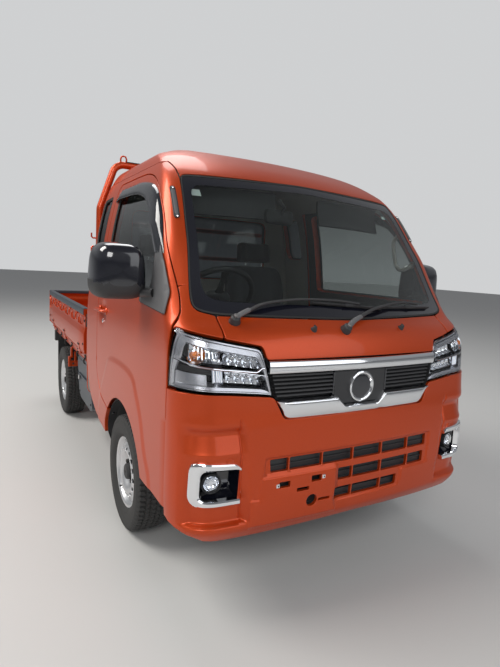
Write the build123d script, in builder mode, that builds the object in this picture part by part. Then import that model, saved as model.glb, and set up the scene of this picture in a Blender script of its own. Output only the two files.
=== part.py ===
from build123d import *
import os
from math import cos, radians, sin

os.makedirs("parts", exist_ok=True)

# Kei truck with an extended high-roof cab. The truck faces -Y, +X is its left side, +Z is up.
# The origin is on the ground, in the middle of the truck's length and width. Millimetres.
# A station is a distance behind the nose.

# Overall sizes and axles
overall_length = 3395.0
overall_width = 1475.0
roof_height = 1885.0
front_overhang = 795.0
wheelbase = 1900.0
front_track = 1305.0
rear_track = 1300.0
half_width = overall_width / 2

# Fits between neighbours
panel_gap = 7.0
moving_gap = 8.0
pin_clearance = 0.3
cut_margin = 10.0


def station(from_nose):
    """Y of a section that lies this far behind the nose."""
    return from_nose - overall_length / 2


front_axle_y = station(front_overhang)
rear_axle_y = station(front_overhang + wheelbase)

# Wheels and tyres
tyre_radius = 270.0
tyre_width = 147.0
tread_half = 56.0
tread_shoulder_drop = 14.0
rim_radius = 152.4
rim_flange_radius = 165.0
rim_width = 118.0
rim_wall = 6.0
disc_offset = 38.0
vent_count = 12
vent_circle = 108.0
vent_length = 34.0
vent_width = 20.0
hub_bore_radius = 22.0
arch_clearance = 74.0
arch_radius = tyre_radius + arch_clearance

# Cab
cab_rear = 1655.0
side_wall = 45.0
roof_wall = 30.0
glass_wall = 6.0
rear_wall = 35.0
lamp_depth = 45.0
sill_height = 378.0
belt_height = 1128.0
header_height = 1637.0
rail_height = 1690.0
front_seam_height = 1172.0
door_front = 200.0
door_rear = 1336.0
door_top = 1652.0
door_depth = 90.0
door_hinge_inset = 2.0
door_hem = 10.0
floor_height = 430.0
floor_plate = 30.0
seat_riser = 850.0
seat_deck = 700.0
deck_plate = 30.0

# Bed and its gates
bed_front = 1680.0
bed_wall = 30.0
bed_floor_height = 660.0
bed_deck = 30.0
gate_height = 281.0
gate_wall = 32.5
gate_lift = 4.0
gate_hinge_inset = 9.5
gate_hinge_drop = 8.0
gate_hinge_radius = 8.5
gate_pin_radius = 4.0
guard_height = 1850.0
guard_tube = 42.0

# Frame
rail_front = 95.0
rail_rear = overall_length - 55.0
rail_centre = 345.0
rail_width = 50.0
rail_depth = 80.0
front_rail_bottom = 300.0
rear_rail_bottom = 415.0

# Cab sections, one row per height: height, front (behind the nose), crown (how far the front curves
# back), inset from the side, corner radius, rear step (how far the rear end lies ahead of the cab's rear)
cab_sections = [
    (372.0, 66.0, 45.0, 6.0, 150.0, 0.0),
    (700.0, 62.0, 48.0, 2.0, 150.0, 0.0),
    (728.0, 24.0, 50.0, 2.0, 150.0, 0.0),
    (931.0, 30.0, 60.0, 2.5, 150.0, 0.0),
    (985.0, 42.0, 70.0, 5.0, 145.0, 0.0),
    (1030.0, 66.0, 85.0, 9.0, 130.0, 0.0),
    (1075.0, 115.0, 100.0, 14.5, 105.0, 0.0),
    (1366.0, 330.0, 62.0, 52.0, 80.0, 0.0),
    (header_height, 548.0, 62.0, 117.0, 76.0, 0.0),
    (rail_height, 628.0, 66.0, 142.0, 96.0, 0.0),
    (1750.0, 766.0, 52.0, 178.0, 116.0, 0.0),
    (1810.0, 944.0, 50.0, 285.0, 126.0, 4.0),
    (1850.0, 1116.0, 44.0, 345.0, 128.0, 12.0),
    (1873.0, 1215.0, 41.0, 390.0, 122.0, 30.0),
    (roof_height, 1370.0, 40.0, 460.0, 118.0, 60.0),
]


def form_section(height, half, front_y, crown, corner, rear_y):
    """One horizontal section: a curved front with rounded corners, straight sides and a straight rear."""
    with BuildSketch(Plane.XY.offset(height)) as section:
        with BuildLine():
            ThreePointArc((-half, front_y + crown), (0, front_y), (half, front_y + crown))
            Line((half, front_y + crown), (half, rear_y))
            Line((half, rear_y), (-half, rear_y))
            Line((-half, rear_y), (-half, front_y + crown))
        make_face()
        fillet(section.vertices().sort_by(Axis.Y)[:2], corner)
    return section.sketch


def cab_solid(inset, rear):
    """The cab's outer form, drawn in by an inset. Above the header it is lowered by it too."""
    with BuildPart() as form:
        for height, front, crown, side_inset, corner, rear_step in cab_sections:
            drop = inset if height > header_height else 0.0
            add(
                form_section(
                    height - drop,
                    half_width - side_inset - inset,
                    station(front + inset),
                    crown,
                    corner - inset / 2,
                    station(rear - rear_step),
                )
            )
        loft(ruled=True)
    return form.part


def side_prism(points, near, far, grow=0.0):
    """The prism of an outline of (station, height) pairs between two distances from the middle."""
    with BuildPart() as prism:
        with BuildSketch(Plane.YZ.offset(near)):
            with BuildLine():
                Polyline([(station(from_nose), height) for from_nose, height in points], close=True)
            make_face()
            if grow:
                offset(amount=grow, kind=Kind.INTERSECTION)
        extrude(amount=far - near)
    return prism.part


def front_prism(points, start, end):
    """The prism of an outline of (x, height) pairs between two stations."""
    with BuildPart() as prism:
        with BuildSketch(Plane.XZ.offset(-station(end))):
            with BuildLine():
                Polyline(points, close=True)
            make_face()
        extrude(amount=end - start)
    return prism.part


def both_sides(points):
    """A symmetric front outline from the points of its left half, listed from bottom to top."""
    return points + [(-x, height) for x, height in reversed(points) if x > 0]


def block(x_low, x_high, y_low, y_high, z_low, z_high):
    """A plain rectangular solid between six planes."""
    with BuildPart() as solid:
        with BuildSketch(Plane.XY.offset(z_low)):
            with Locations(((x_low + x_high) / 2, (y_low + y_high) / 2)):
                Rectangle(x_high - x_low, y_high - y_low)
        extrude(amount=z_high - z_low)
    return solid.part


def side_block(sign, x_near, x_far, start, end, z_low, z_high):
    """A block on one side of the truck, between two distances from the middle and two stations."""
    x_low, x_high = sorted((x_near * sign, x_far * sign))
    return block(x_low, x_high, station(start), station(end), z_low, z_high)


def middle_block(x_half, start, end, z_low, z_high):
    """A block across the middle of the truck, between two stations."""
    return block(-x_half, x_half, station(start), station(end), z_low, z_high)


def rod(start, end, radius):
    """A round bar from one point to another."""
    axis = Vector(*end) - Vector(*start)
    with BuildPart() as solid:
        with BuildSketch(Plane(origin=start, z_dir=axis.normalized())):
            Circle(radius)
        extrude(amount=axis.length)
    return solid.part


def keep(part, name):
    """Names a finished piece and writes its file."""
    part.label = name
    export_step(part, f"parts/{name}.step")


sides = (("left", 1), ("right", -1))
beyond_side = half_width + cut_margin

# Outlines that neighbouring pieces share. Side outlines are (station, height).
door_points = [
    (door_front, sill_height),
    (front_overhang, sill_height),
    (front_overhang, 505.0),
    (1066.0, 508.0),
    (1240.0, 545.0),
    (door_rear, 640.0),
    (door_rear, door_top),
    (910.0, door_top),
    (800.0, 1640.0),
    (700.0, 1611.0),
    (600.0, 1555.0),
    (505.0, 1474.0),
    (430.0, 1376.0),
    (350.0, 1267.0),
    (262.0, 1140.0),
    (door_front, 1045.0),
]
window_front = 360.0
door_window_points = [
    (window_front, belt_height),
    (1232.0, belt_height),
    (1244.0, 1600.0),
    (920.0, 1608.0),
    (760.0, 1590.0),
    (640.0, 1535.0),
    (540.0, 1450.0),
    (455.0, 1330.0),
]
quarter_window_points = [
    (1410.0, 1330.0),
    (1560.0, 1330.0),
    (1590.0, 1370.0),
    (1596.0, 1590.0),
    (1420.0, 1600.0),
]
rear_wall_station = cab_rear - rear_wall
pillar_front = 100.0
side_frame_points = [
    (pillar_front, front_seam_height),
    (door_rear - 40.0, front_seam_height),
    (door_rear - 40.0, 560.0),
    (1040.0, 470.0),
    (1100.0, 372.0),
    (1356.0, 396.0),
    (1531.0, 468.0),
    (rear_wall_station, bed_floor_height),
    (rear_wall_station, rail_height),
    (pillar_front, rail_height),
]

# Front outlines are (distance from the middle, height)
screen_low_x = half_width - 94.5
screen_high_x = half_width - 161.5
screen_low = 1118.0
screen_high = 1600.0
windshield_points = both_sides(
    [
        (0.0, 1073.0),
        (half_width - 177.5, 1084.0),
        (half_width - 109.5, 1096.0),
        (screen_low_x, screen_low),
        (screen_high_x, screen_high),
        (screen_high_x - 16.0, 1618.0),
        (0.0, header_height),
    ]
)
screen_cut_points = both_sides(
    [
        (0.0, 1000.0),
        (screen_low_x, 1000.0),
        (screen_low_x, screen_low),
        (screen_high_x, screen_high),
        (screen_high_x, 1800.0),
        (0.0, 1800.0),
    ]
)
header_points = both_sides(
    [
        (0.0, header_height),
        (screen_high_x - 16.0, 1618.0),
        (screen_high_x, screen_high),
        (screen_high_x, rail_height),
    ]
)
grille_points = both_sides(
    [
        (half_width - 389.5, 728.0),
        (half_width - 367.5, 775.0),
        (half_width - 346.5, 812.0),
        (half_width - 314.5, 950.0),
    ]
)
lamp_points = [
    (half_width - 341.5, 812.0),
    (beyond_side, 838.0),
    (beyond_side, 1046.0),
    (half_width - 77.5, 1022.0),
    (half_width - 302.5, 983.0),
]
front_panel_points = both_sides(
    [
        (half_width - 313.5, 956.0),
        (half_width - 306.5, 989.0),
        (half_width - 77.5, 1029.0),
        (beyond_side, 1053.0),
        (beyond_side, front_seam_height - panel_gap),
        (half_width - 157.5, front_seam_height - panel_gap),
    ]
)
bumper_low = 300.0
bumper_points = both_sides(
    [
        (0.0, bumper_low - cut_margin),
        (beyond_side, bumper_low - cut_margin),
        (beyond_side, 832.0),
        (half_width - 345.5, 806.0),
        (half_width - 363.5, 770.0),
        (half_width - 387.5, 722.0),
    ]
)

# Cab forms at the depths of the outer skin, the glass, the inner skins and the trim
outer_form = cab_solid(0.0, cab_rear)
glass_form = cab_solid(glass_wall, cab_rear + cut_margin)
glass_back_form = cab_solid(2 * glass_wall, cab_rear + cut_margin)
side_form = cab_solid(side_wall, cab_rear + cut_margin)
roof_form = cab_solid(roof_wall, rear_wall_station)
trim_form = cab_solid(side_wall + moving_gap, cab_rear + cut_margin)
with BuildPart() as wall_shell:
    add(outer_form)
    add(side_form, mode=Mode.SUBTRACT)
    add(middle_block(half_width, 0.0, cab_rear + cut_margin, 300.0, sill_height), mode=Mode.SUBTRACT)

screen_reach = 800.0
windshield_prism = front_prism(windshield_points, 0.0, screen_reach)
arch_reach = half_width + 50.0
arch_cylinder = rod(
    (-arch_reach, front_axle_y, tyre_radius), (arch_reach, front_axle_y, tyre_radius), arch_radius
)

# Windshield
with BuildPart() as windshield:
    add(outer_form)
    add(glass_form, mode=Mode.SUBTRACT)
    add(windshield_prism, mode=Mode.INTERSECT)
keep(windshield.part, "windshield")

# Roof panel, with the header above the windshield
with BuildPart() as roof_zone:
    add(middle_block(half_width, 0.0, cab_rear, rail_height, roof_height + cut_margin))
    add(front_prism(header_points, 0.0, screen_reach))
with BuildPart() as roof_panel:
    add(outer_form)
    add(roof_form, mode=Mode.SUBTRACT)
    add(roof_zone.part, mode=Mode.INTERSECT)
keep(roof_panel.part, "roof_panel")

# Side frames, doors and their glass. A door's front end reaches no further inward than its depth, and
# its inner part is drawn in by the hem, so that it swings clear of the side frame.
wall_reach = 500.0
door_corner_points = [
    (wall_reach, 0.0),
    (half_width - door_depth, 0.0),
    (half_width - door_depth, belt_height),
    (half_width - door_depth - 40.0, 1376.0),
    (wall_reach, 1376.0),
]
quarter_glasses = []
for side, sign in sides:
    near = wall_reach * sign
    far = beyond_side * sign
    door_zone = side_prism(door_points, near, far)
    window_zone = side_prism(door_window_points, near, far)
    quarter_zone = side_prism(quarter_window_points, near, far)

    with BuildPart() as side_frame:
        add(wall_shell.part)
        add(side_prism(side_frame_points, near, far), mode=Mode.INTERSECT)
        add(side_prism(door_points, near, far, grow=panel_gap), mode=Mode.SUBTRACT)
        add(quarter_zone, mode=Mode.SUBTRACT)
        add(front_prism(screen_cut_points, 0.0, screen_reach), mode=Mode.SUBTRACT)
        add(arch_cylinder, mode=Mode.SUBTRACT)
    keep(side_frame.part, f"side_frame_{side}")

    with BuildPart() as hem:
        add(glass_back_form)
        add(door_zone, mode=Mode.INTERSECT)
        add(side_prism(door_points, near, far, grow=-door_hem), mode=Mode.SUBTRACT)
    with BuildPart() as door:
        add(wall_shell.part)
        add(door_zone, mode=Mode.INTERSECT)
        add(hem.part, mode=Mode.SUBTRACT)
        add(window_zone, mode=Mode.SUBTRACT)
        add(arch_cylinder, mode=Mode.SUBTRACT)
        corner_points = [(x * sign, height) for x, height in door_corner_points]
        add(front_prism(corner_points, 0.0, window_front), mode=Mode.SUBTRACT)
    keep(door.part, f"door_{side}")

    with BuildPart() as door_glass:
        add(glass_form)
        add(glass_back_form, mode=Mode.SUBTRACT)
        add(window_zone, mode=Mode.INTERSECT)
    keep(door_glass.part, f"door_glass_{side}")

    with BuildPart() as quarter_glass:
        add(glass_form)
        add(glass_back_form, mode=Mode.SUBTRACT)
        add(quarter_zone, mode=Mode.INTERSECT)
    quarter_glasses.append(quarter_glass.part)

# Fixed rear glass: the two quarter windows and the window in the cab's rear wall
rear_window_half = half_width - 267.5
rear_window_low = 1165.0
rear_window_high = 1560.0
rear_glass_inset = 10.0
glass_rear = cab_rear - rear_glass_inset
with BuildPart() as rear_glass:
    for glass in quarter_glasses:
        add(glass)
    glass_ends = (glass_rear - glass_wall, glass_rear)
    add(middle_block(rear_window_half, *glass_ends, rear_window_low, rear_window_high))
keep(rear_glass.part, "rear_glass")

# Cab rear wall, which closes the cab's section behind the side frames, up to the roof
with BuildPart() as cab_rear_wall:
    add(outer_form)
    add(middle_block(half_width, rear_wall_station, cab_rear, floor_height, rail_height), mode=Mode.INTERSECT)
    add(
        middle_block(
            rear_window_half,
            rear_wall_station - cut_margin,
            cab_rear + cut_margin,
            rear_window_low,
            rear_window_high,
        ),
        mode=Mode.SUBTRACT,
    )
keep(cab_rear_wall.part, "cab_rear_wall")

# Painted front panel below the windshield and round its lower corners
with BuildPart() as front_panel:
    add(wall_shell.part)
    add(front_prism(front_panel_points, 0.0, 430.0), mode=Mode.INTERSECT)
    add(windshield_prism, mode=Mode.SUBTRACT)
    for side, sign in sides:
        door_zone = side_prism(door_points, 400.0 * sign, beyond_side * sign, grow=panel_gap)
        add(door_zone, mode=Mode.SUBTRACT)
        add(side_block(sign, wall_reach, half_width, 240.0, screen_reach, 900.0, 1200.0), mode=Mode.SUBTRACT)
keep(front_panel.part, "front_panel")

# Grille between the headlamps
grille_depth = 32.0
slat_count = 5
slat_low = 822.0
slat_high = 918.0
slat_land = 4.0
slat_station = 40.0
badge_half = 62.0
slat_outer = half_width - 357.5
slat_pitch = (slat_high - slat_low) / slat_count
grille_back_form = cab_solid(grille_depth, cab_rear + cut_margin)
with BuildPart() as grille:
    add(outer_form)
    add(grille_back_form, mode=Mode.SUBTRACT)
    add(front_prism(grille_points, 0.0, 200.0), mode=Mode.INTERSECT)
    for side, sign in sides:
        for row in range(slat_count):
            low = slat_low + row * slat_pitch + slat_land
            high = slat_low + (row + 1) * slat_pitch - slat_land
            add(side_block(sign, badge_half, slat_outer, 0.0, slat_station, low, high), mode=Mode.SUBTRACT)
keep(grille.part, "grille")

# Headlamps, which wrap round the front corners
lamp_rear = door_front - panel_gap
lamp_back_form = cab_solid(lamp_depth, cab_rear + cut_margin)
with BuildPart() as lamp_zone:
    add(front_prism(lamp_points, 0.0, lamp_rear))
    add(front_prism([(-x, height) for x, height in lamp_points], 0.0, lamp_rear))
with BuildPart() as headlamps:
    add(outer_form)
    add(lamp_back_form, mode=Mode.SUBTRACT)
    add(lamp_zone.part, mode=Mode.INTERSECT)
keep(headlamps.part, "headlamps")

# Front bumper sections, one row per height: height, front, crown, inset from the side, corner radius
bumper_sections = [
    (bumper_low, 34.0, 40.0, 22.0, 150.0),
    (345.0, 8.0, 42.0, 6.0, 160.0),
    (480.0, 0.0, 42.0, 0.0, 160.0),
    (600.0, 2.0, 42.0, 0.0, 160.0),
    (700.0, 10.0, 44.0, 0.0, 155.0),
    (728.0, 20.0, 48.0, 0.0, 152.0),
    (838.0, 22.0, 54.0, 0.0, 150.0),
]
bumper_wall = 36.0
bumper_rear = door_front - panel_gap
bumper_cut_rear = door_front + 60.0
intake_depth = 120.0


def bumper_solid(inset):
    """The bumper's outer form, drawn in by an inset."""
    with BuildPart() as form:
        for height, front, crown, side_inset, corner in bumper_sections:
            add(
                form_section(
                    height,
                    half_width - side_inset - inset,
                    station(front + inset),
                    crown,
                    corner - inset / 2,
                    station(bumper_cut_rear),
                )
            )
        loft(ruled=True)
    return form.part


# Intake rows: low, high, first cell's low x, last cell's high x, cells
intake_rows = [
    (522.0, 576.0, -396.0, 396.0, 7),
    (457.0, 508.0, -105.0, 385.0, 4),
    (380.0, 432.0, -122.0, 232.0, 3),
]
intake_bar = 9.0
fog_inner = half_width - 211.5
fog_outer = half_width - 47.5
fog_low = 452.0
fog_high = 592.0
bracket_half = 18.0
bracket_front = bumper_wall + 16.0
bracket_low = front_rail_bottom + 20.0
bracket_high = front_rail_bottom + 70.0
with BuildPart() as front_bumper:
    add(bumper_solid(0.0))
    add(bumper_solid(bumper_wall), mode=Mode.SUBTRACT)
    add(front_prism(bumper_points, -cut_margin, bumper_rear), mode=Mode.INTERSECT)
    for low, high, first, last, cells in intake_rows:
        cell = (last - first) / cells
        for index in range(cells):
            x_low = first + index * cell + intake_bar / 2
            x_high = x_low + cell - intake_bar
            slot = block(x_low, x_high, station(-cut_margin), station(intake_depth), low, high)
            add(slot, mode=Mode.SUBTRACT)
    for side, sign in sides:
        fog_ends = (-cut_margin, bumper_rear - cut_margin)
        add(side_block(sign, fog_inner, fog_outer, *fog_ends, fog_low, fog_high), mode=Mode.SUBTRACT)
    for side, sign in sides:
        bracket_sides = (rail_centre - bracket_half, rail_centre + bracket_half)
        add(side_block(sign, *bracket_sides, bracket_front, rail_front, bracket_low, bracket_high))
keep(front_bumper.part, "front_bumper")

# Fog lamps in the bumper's corner pods
fog_radius = 42.0
fog_face = 52.0
fog_plate_front = 82.0
fog_plate_rear = 112.0
with BuildPart() as fog_lamps:
    for side, sign in sides:
        fog_x = (fog_inner + fog_outer) / 2 * sign
        fog_z = (fog_low + fog_high) / 2
        add(side_block(sign, fog_inner, fog_outer, fog_plate_front, fog_plate_rear, fog_low, fog_high))
        add(rod((fog_x, station(fog_face), fog_z), (fog_x, station(fog_plate_front), fog_z), fog_radius))
keep(fog_lamps.part, "fog_lamps")

# Cab floor: floor plate, bulkhead behind the lamps, wheel housings with strut towers, seat riser and deck.
# Its front corners and the dashboard's ends are cut back where the doors' front ends swing.
bulkhead = 150.0
bulkhead_wall = 25.0
bulkhead_top = 800.0
housing_wall = 14.0
housing_inner = front_track / 2 - 267.5
kingpin_x = front_track / 2 - 104.5
strut_hole_radius = 62.0
tower_radius = strut_hole_radius + housing_wall
strut_top = seat_deck - deck_plate - 20.0
tower_inside = strut_top + 10.0
tower_top = tower_inside + housing_wall
engine_bay_half = 250.0
floor_bottom = floor_height - floor_plate
floor_swing_radius = 80.0
door_hinge_x = half_width - door_hinge_inset
door_hinge_ends = [
    ((x, station(door_front), sill_height), (x, station(door_front), belt_height))
    for x in (door_hinge_x, -door_hinge_x)
]
with BuildPart() as cab_floor:
    add(middle_block(half_width, bulkhead, rear_wall_station, floor_bottom, floor_height))
    add(middle_block(half_width, bulkhead, bulkhead + bulkhead_wall, floor_height, bulkhead_top))
    add(middle_block(half_width, seat_riser, seat_riser + floor_plate, floor_height, seat_deck))
    add(middle_block(half_width, seat_riser, rear_wall_station, seat_deck - deck_plate, seat_deck))
    bay_ends = (seat_riser + floor_plate, rear_wall_station)
    add(middle_block(engine_bay_half, *bay_ends, floor_bottom - 1.0, floor_height + 1.0), mode=Mode.SUBTRACT)
    for side, sign in sides:
        inner_end = (housing_inner * sign, front_axle_y, tyre_radius)
        outer_end = (half_width * sign, front_axle_y, tyre_radius)
        add(rod(inner_end, outer_end, arch_radius + housing_wall))
        tower_foot = (kingpin_x * sign, front_axle_y, tyre_radius)
        add(rod(tower_foot, (kingpin_x * sign, front_axle_y, tower_top), tower_radius))
    for side, sign in sides:
        inner_end = ((housing_inner + housing_wall) * sign, front_axle_y, tyre_radius)
        outer_end = (beyond_side * sign, front_axle_y, tyre_radius)
        add(rod(inner_end, outer_end, arch_radius), mode=Mode.SUBTRACT)
        tower_foot = (kingpin_x * sign, front_axle_y, tyre_radius)
        tower_end = (kingpin_x * sign, front_axle_y, tower_inside)
        add(rod(tower_foot, tower_end, strut_hole_radius), mode=Mode.SUBTRACT)
    add(middle_block(half_width, 0.0, cab_rear, -arch_radius, floor_bottom), mode=Mode.SUBTRACT)
    add(trim_form, mode=Mode.INTERSECT)
    for foot, top in door_hinge_ends:
        add(rod(foot, top, floor_swing_radius), mode=Mode.SUBTRACT)
keep(cab_floor.part, "cab_floor")

# Dashboard with the steering column
column_tilt = 50.0
wheel_x = -335.0
wheel_station = 695.0
wheel_z = 1100.0
column_radius = 24.0
column_length = 340.0
wheel_stand_off = 60.0
shaft_radius = 12.0
shaft_length = 60.0
shaft_end_gap = 4.0
column_axis = Vector(0, sin(radians(column_tilt)), cos(radians(column_tilt)))
wheel_centre = Vector(wheel_x, station(wheel_station), wheel_z)
column_top = wheel_centre - column_axis * wheel_stand_off
column_foot = column_top - column_axis * column_length
bore_foot = column_top - column_axis * shaft_length
dash_swing_radius = door_depth + 2 * moving_gap
dash_points = [
    (185.0, bulkhead_top),
    (400.0, bulkhead_top),
    (470.0, 900.0),
    (480.0, 985.0),
    (430.0, 1040.0),
    (235.0, 1050.0),
    (185.0, 1000.0),
]
with BuildPart() as dashboard:
    add(side_prism(dash_points, -half_width, half_width))
    add(trim_form, mode=Mode.INTERSECT)
    for foot, top in door_hinge_ends:
        add(rod(foot, top, dash_swing_radius), mode=Mode.SUBTRACT)
    add(rod(tuple(column_foot), tuple(column_top), column_radius))
    bore_top = column_top + column_axis * cut_margin
    add(rod(tuple(bore_foot), tuple(bore_top), shaft_radius + pin_clearance), mode=Mode.SUBTRACT)
keep(dashboard.part, "dashboard")

# Steering wheel: a round rim, a hub, two level spokes and a lower one
steering_rim_radius = 185.0
steering_rim_section = 14.0
steering_hub_radius = 62.0
steering_hub_depth = 36.0
steering_hub_drop = 30.0
spoke_width = 34.0
spoke_depth = 10.0
wheel_plane = Plane(origin=tuple(wheel_centre), x_dir=(1, 0, 0), z_dir=tuple(column_axis))
rim_section_plane = Plane(
    origin=tuple(wheel_centre), x_dir=(1, 0, 0), z_dir=tuple(column_axis.cross(Vector(1, 0, 0)))
)
with BuildPart() as steering_wheel:
    with BuildSketch(rim_section_plane):
        with Locations((steering_rim_radius, 0)):
            Circle(steering_rim_section)
    revolve(axis=Axis(tuple(wheel_centre), tuple(column_axis)))
    with BuildSketch(wheel_plane.offset(-steering_hub_drop)):
        Circle(steering_hub_radius)
    extrude(amount=steering_hub_depth)
    for angle in (0.0, 90.0, 180.0):
        with BuildSketch(wheel_plane.offset(-spoke_depth)):
            with PolarLocations(steering_rim_radius / 2, 1, start_angle=angle):
                Rectangle(steering_rim_radius, spoke_width)
        extrude(amount=spoke_depth)
    with BuildSketch(wheel_plane.offset(-steering_hub_drop)):
        Circle(shaft_radius)
    extrude(amount=-(wheel_stand_off + shaft_length - shaft_end_gap - steering_hub_drop))
keep(steering_wheel.part, "steering_wheel")

# Seats: each is a cushion, a reclined back and a head restraint
seat_x = half_width - 402.5
seat_half = 235.0
seat_front = 905.0
seat_length = 450.0
cushion_depth = 115.0
back_depth = 95.0
back_height = 560.0
back_lean = 95.0
restraint_height = 170.0
back_foot = seat_front + seat_length + 20.0
seat_points = [
    (seat_front, seat_deck),
    (seat_front, seat_deck + cushion_depth),
    (back_foot, seat_deck + cushion_depth - 15.0),
    (back_foot + back_lean, seat_deck + back_height),
    (back_foot + back_lean + 15.0, seat_deck + back_height + restraint_height),
    (back_foot + back_lean + 90.0, seat_deck + back_height + restraint_height),
    (back_foot + back_lean + 85.0, seat_deck + back_height),
    (back_foot + back_depth, seat_deck),
]
with BuildPart() as seats:
    for side, sign in sides:
        add(side_prism(seat_points, (seat_x - seat_half) * sign, (seat_x + seat_half) * sign))
keep(seats.part, "seats")

# Chassis frame: two rails that step up behind the cab, with crossmembers and pads
step_start = 1630.0
step_end = 1800.0
member_inset = 8.0
deck_bottom = bed_floor_height - bed_deck
front_rail_top = front_rail_bottom + rail_depth
rear_rail_top = rear_rail_bottom + rail_depth
rail_inner = rail_centre - rail_width / 2
rail_outer = rail_centre + rail_width / 2
rail_points = [
    (rail_front, front_rail_bottom),
    (step_start, front_rail_bottom),
    (step_end, rear_rail_bottom),
    (rail_rear, rear_rail_bottom),
    (rail_rear, rear_rail_top),
    (step_end, rear_rail_top),
    (step_start, front_rail_top),
    (rail_front, front_rail_top),
]
# Crossmembers: station, length along the truck, bottom, top
crossmembers = [
    (rail_front, 40.0, front_rail_bottom + member_inset, front_rail_top - member_inset),
    (1560.0, 50.0, front_rail_bottom - 50.0, front_rail_bottom + 2.0),
    (2100.0, 50.0, rear_rail_bottom + member_inset, rear_rail_top - member_inset),
    (rail_rear - 50.0, 50.0, rear_rail_bottom + member_inset, rear_rail_top - member_inset),
]
tank_inner = 440.0
tank_bracket_stations = (1830.0, 2070.0)
pad_stations = (200.0, 1200.0, 1440.0)
with BuildPart() as chassis_frame:
    for side, sign in sides:
        add(side_prism(rail_points, rail_inner * sign, rail_outer * sign))
        for pad in pad_stations:
            add(side_block(sign, rail_inner, rail_outer, pad, pad + 50.0, front_rail_top - 1.0, floor_bottom))
    for start, length, low, high in crossmembers:
        add(middle_block(rail_inner + 1.0, start, start + length, low, high))
    for start in tank_bracket_stations:
        bracket_heights = (rear_rail_bottom + 10.0, rear_rail_bottom + 40.0)
        add(side_block(1, rail_outer - 1.0, tank_inner, start, start + 30.0, *bracket_heights))
keep(chassis_frame.part, "chassis_frame")

# Bed floor: deck, cross sills on the rails, side rails and hinge ears for the three gates
gate_inner = half_width - gate_wall
tail_inner = overall_length - gate_wall
bed_edge = gate_inner - 4.0
deck_front = bed_front + bed_wall
deck_rear = tail_inner - 4.0
bed_rail_width = 30.0
bed_rail_bottom = bed_floor_height - 62.0
cross_sill_width = 60.0
cross_sill_half = rail_outer + 60.0
cross_sills = 6
gate_hinge_height = bed_floor_height - gate_hinge_drop
hinge_x = half_width - gate_hinge_inset
hinge_station = overall_length - gate_hinge_inset
ear_width = 14.0
ear_root = 5.0
barrel_width = 60.0
ear_gap = 1.5
bed_length = deck_rear - deck_front
# Stations of the side gates' hinges, and the x of the tail gate's
front_side_hinge = deck_front + 170.0
rear_side_hinge = deck_rear - 238.5
side_hinges = (front_side_hinge, (front_side_hinge + rear_side_hinge) / 2, rear_side_hinge)
tail_hinges = (181.0 - bed_edge, 0.0, bed_edge - 181.0)
ear_offset = barrel_width / 2 + ear_gap + ear_width / 2
pin_half = ear_offset + ear_width / 2


def ear(centre, inward, reach):
    """A hinge ear: a round eye with a web below its middle that reaches inward to the bed's edge."""
    inward_direction = Vector(*inward)
    eye_plane = Plane(origin=centre, x_dir=inward, z_dir=tuple(inward_direction.cross(Vector(0, 0, 1))))
    with BuildPart() as solid:
        with BuildSketch(eye_plane):
            Circle(gate_hinge_radius)
            with Locations((reach / 2, -gate_hinge_radius / 2)):
                Rectangle(reach, gate_hinge_radius)
        extrude(amount=ear_width / 2, both=True)
    return solid.part


with BuildPart() as bed_floor:
    add(middle_block(bed_edge, deck_front, deck_rear, deck_bottom, bed_floor_height))
    for side, sign in sides:
        rail_sides = (bed_edge - bed_rail_width, bed_edge)
        add(side_block(sign, *rail_sides, deck_front, deck_rear, bed_rail_bottom, bed_floor_height))
    add(middle_block(bed_edge, deck_rear - bed_rail_width, deck_rear, bed_rail_bottom, deck_bottom))
    sill_pitch = (bed_length - cross_sill_width) / (cross_sills - 1)
    for index in range(cross_sills):
        start = deck_front + index * sill_pitch
        add(middle_block(cross_sill_half, start, start + cross_sill_width, rear_rail_top, deck_bottom))
    for side, sign in sides:
        for place in side_hinges:
            pin_stations = (place - pin_half, place + pin_half)
            pin_ends = [(hinge_x * sign, station(end), gate_hinge_height) for end in pin_stations]
            add(rod(*pin_ends, gate_pin_radius))
            for end in (-1, 1):
                centre = (hinge_x * sign, station(place) + end * ear_offset, gate_hinge_height)
                add(ear(centre, (-sign, 0, 0), hinge_x - bed_edge + ear_root))
    for place in tail_hinges:
        pin_ends = [(place + end * pin_half, station(hinge_station), gate_hinge_height) for end in (-1, 1)]
        add(rod(*pin_ends, gate_pin_radius))
        for end in (-1, 1):
            centre = (place + end * ear_offset, station(hinge_station), gate_hinge_height)
            add(ear(centre, (0, -1, 0), hinge_station - deck_rear + ear_root))
keep(bed_floor.part, "bed_floor")

# Gates: panels with hinge barrels along the bottom edge
gate_bottom = bed_floor_height + gate_lift
gate_top = gate_bottom + gate_height
side_gate_front = bed_front + bed_wall + gate_lift
side_gate_rear = tail_inner - moving_gap
bore_radius = gate_pin_radius + pin_clearance
bore_half = barrel_width / 2 + cut_margin
for side, sign in sides:
    with BuildPart() as side_gate:
        add(side_block(sign, gate_inner, half_width, side_gate_front, side_gate_rear, gate_bottom, gate_top))
        for place in side_hinges:
            ends = (place - barrel_width / 2, place + barrel_width / 2)
            bore_stations = (place - bore_half, place + bore_half)
            barrel_ends = [(hinge_x * sign, station(end), gate_hinge_height) for end in ends]
            bore_ends = [(hinge_x * sign, station(end), gate_hinge_height) for end in bore_stations]
            web_sides = (hinge_x - gate_hinge_radius, hinge_x + gate_hinge_radius)
            add(rod(*barrel_ends, gate_hinge_radius))
            add(side_block(sign, *web_sides, *ends, gate_hinge_height, gate_bottom + 2.0))
            add(rod(*bore_ends, bore_radius), mode=Mode.SUBTRACT)
    keep(side_gate.part, f"side_gate_{side}")

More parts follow.
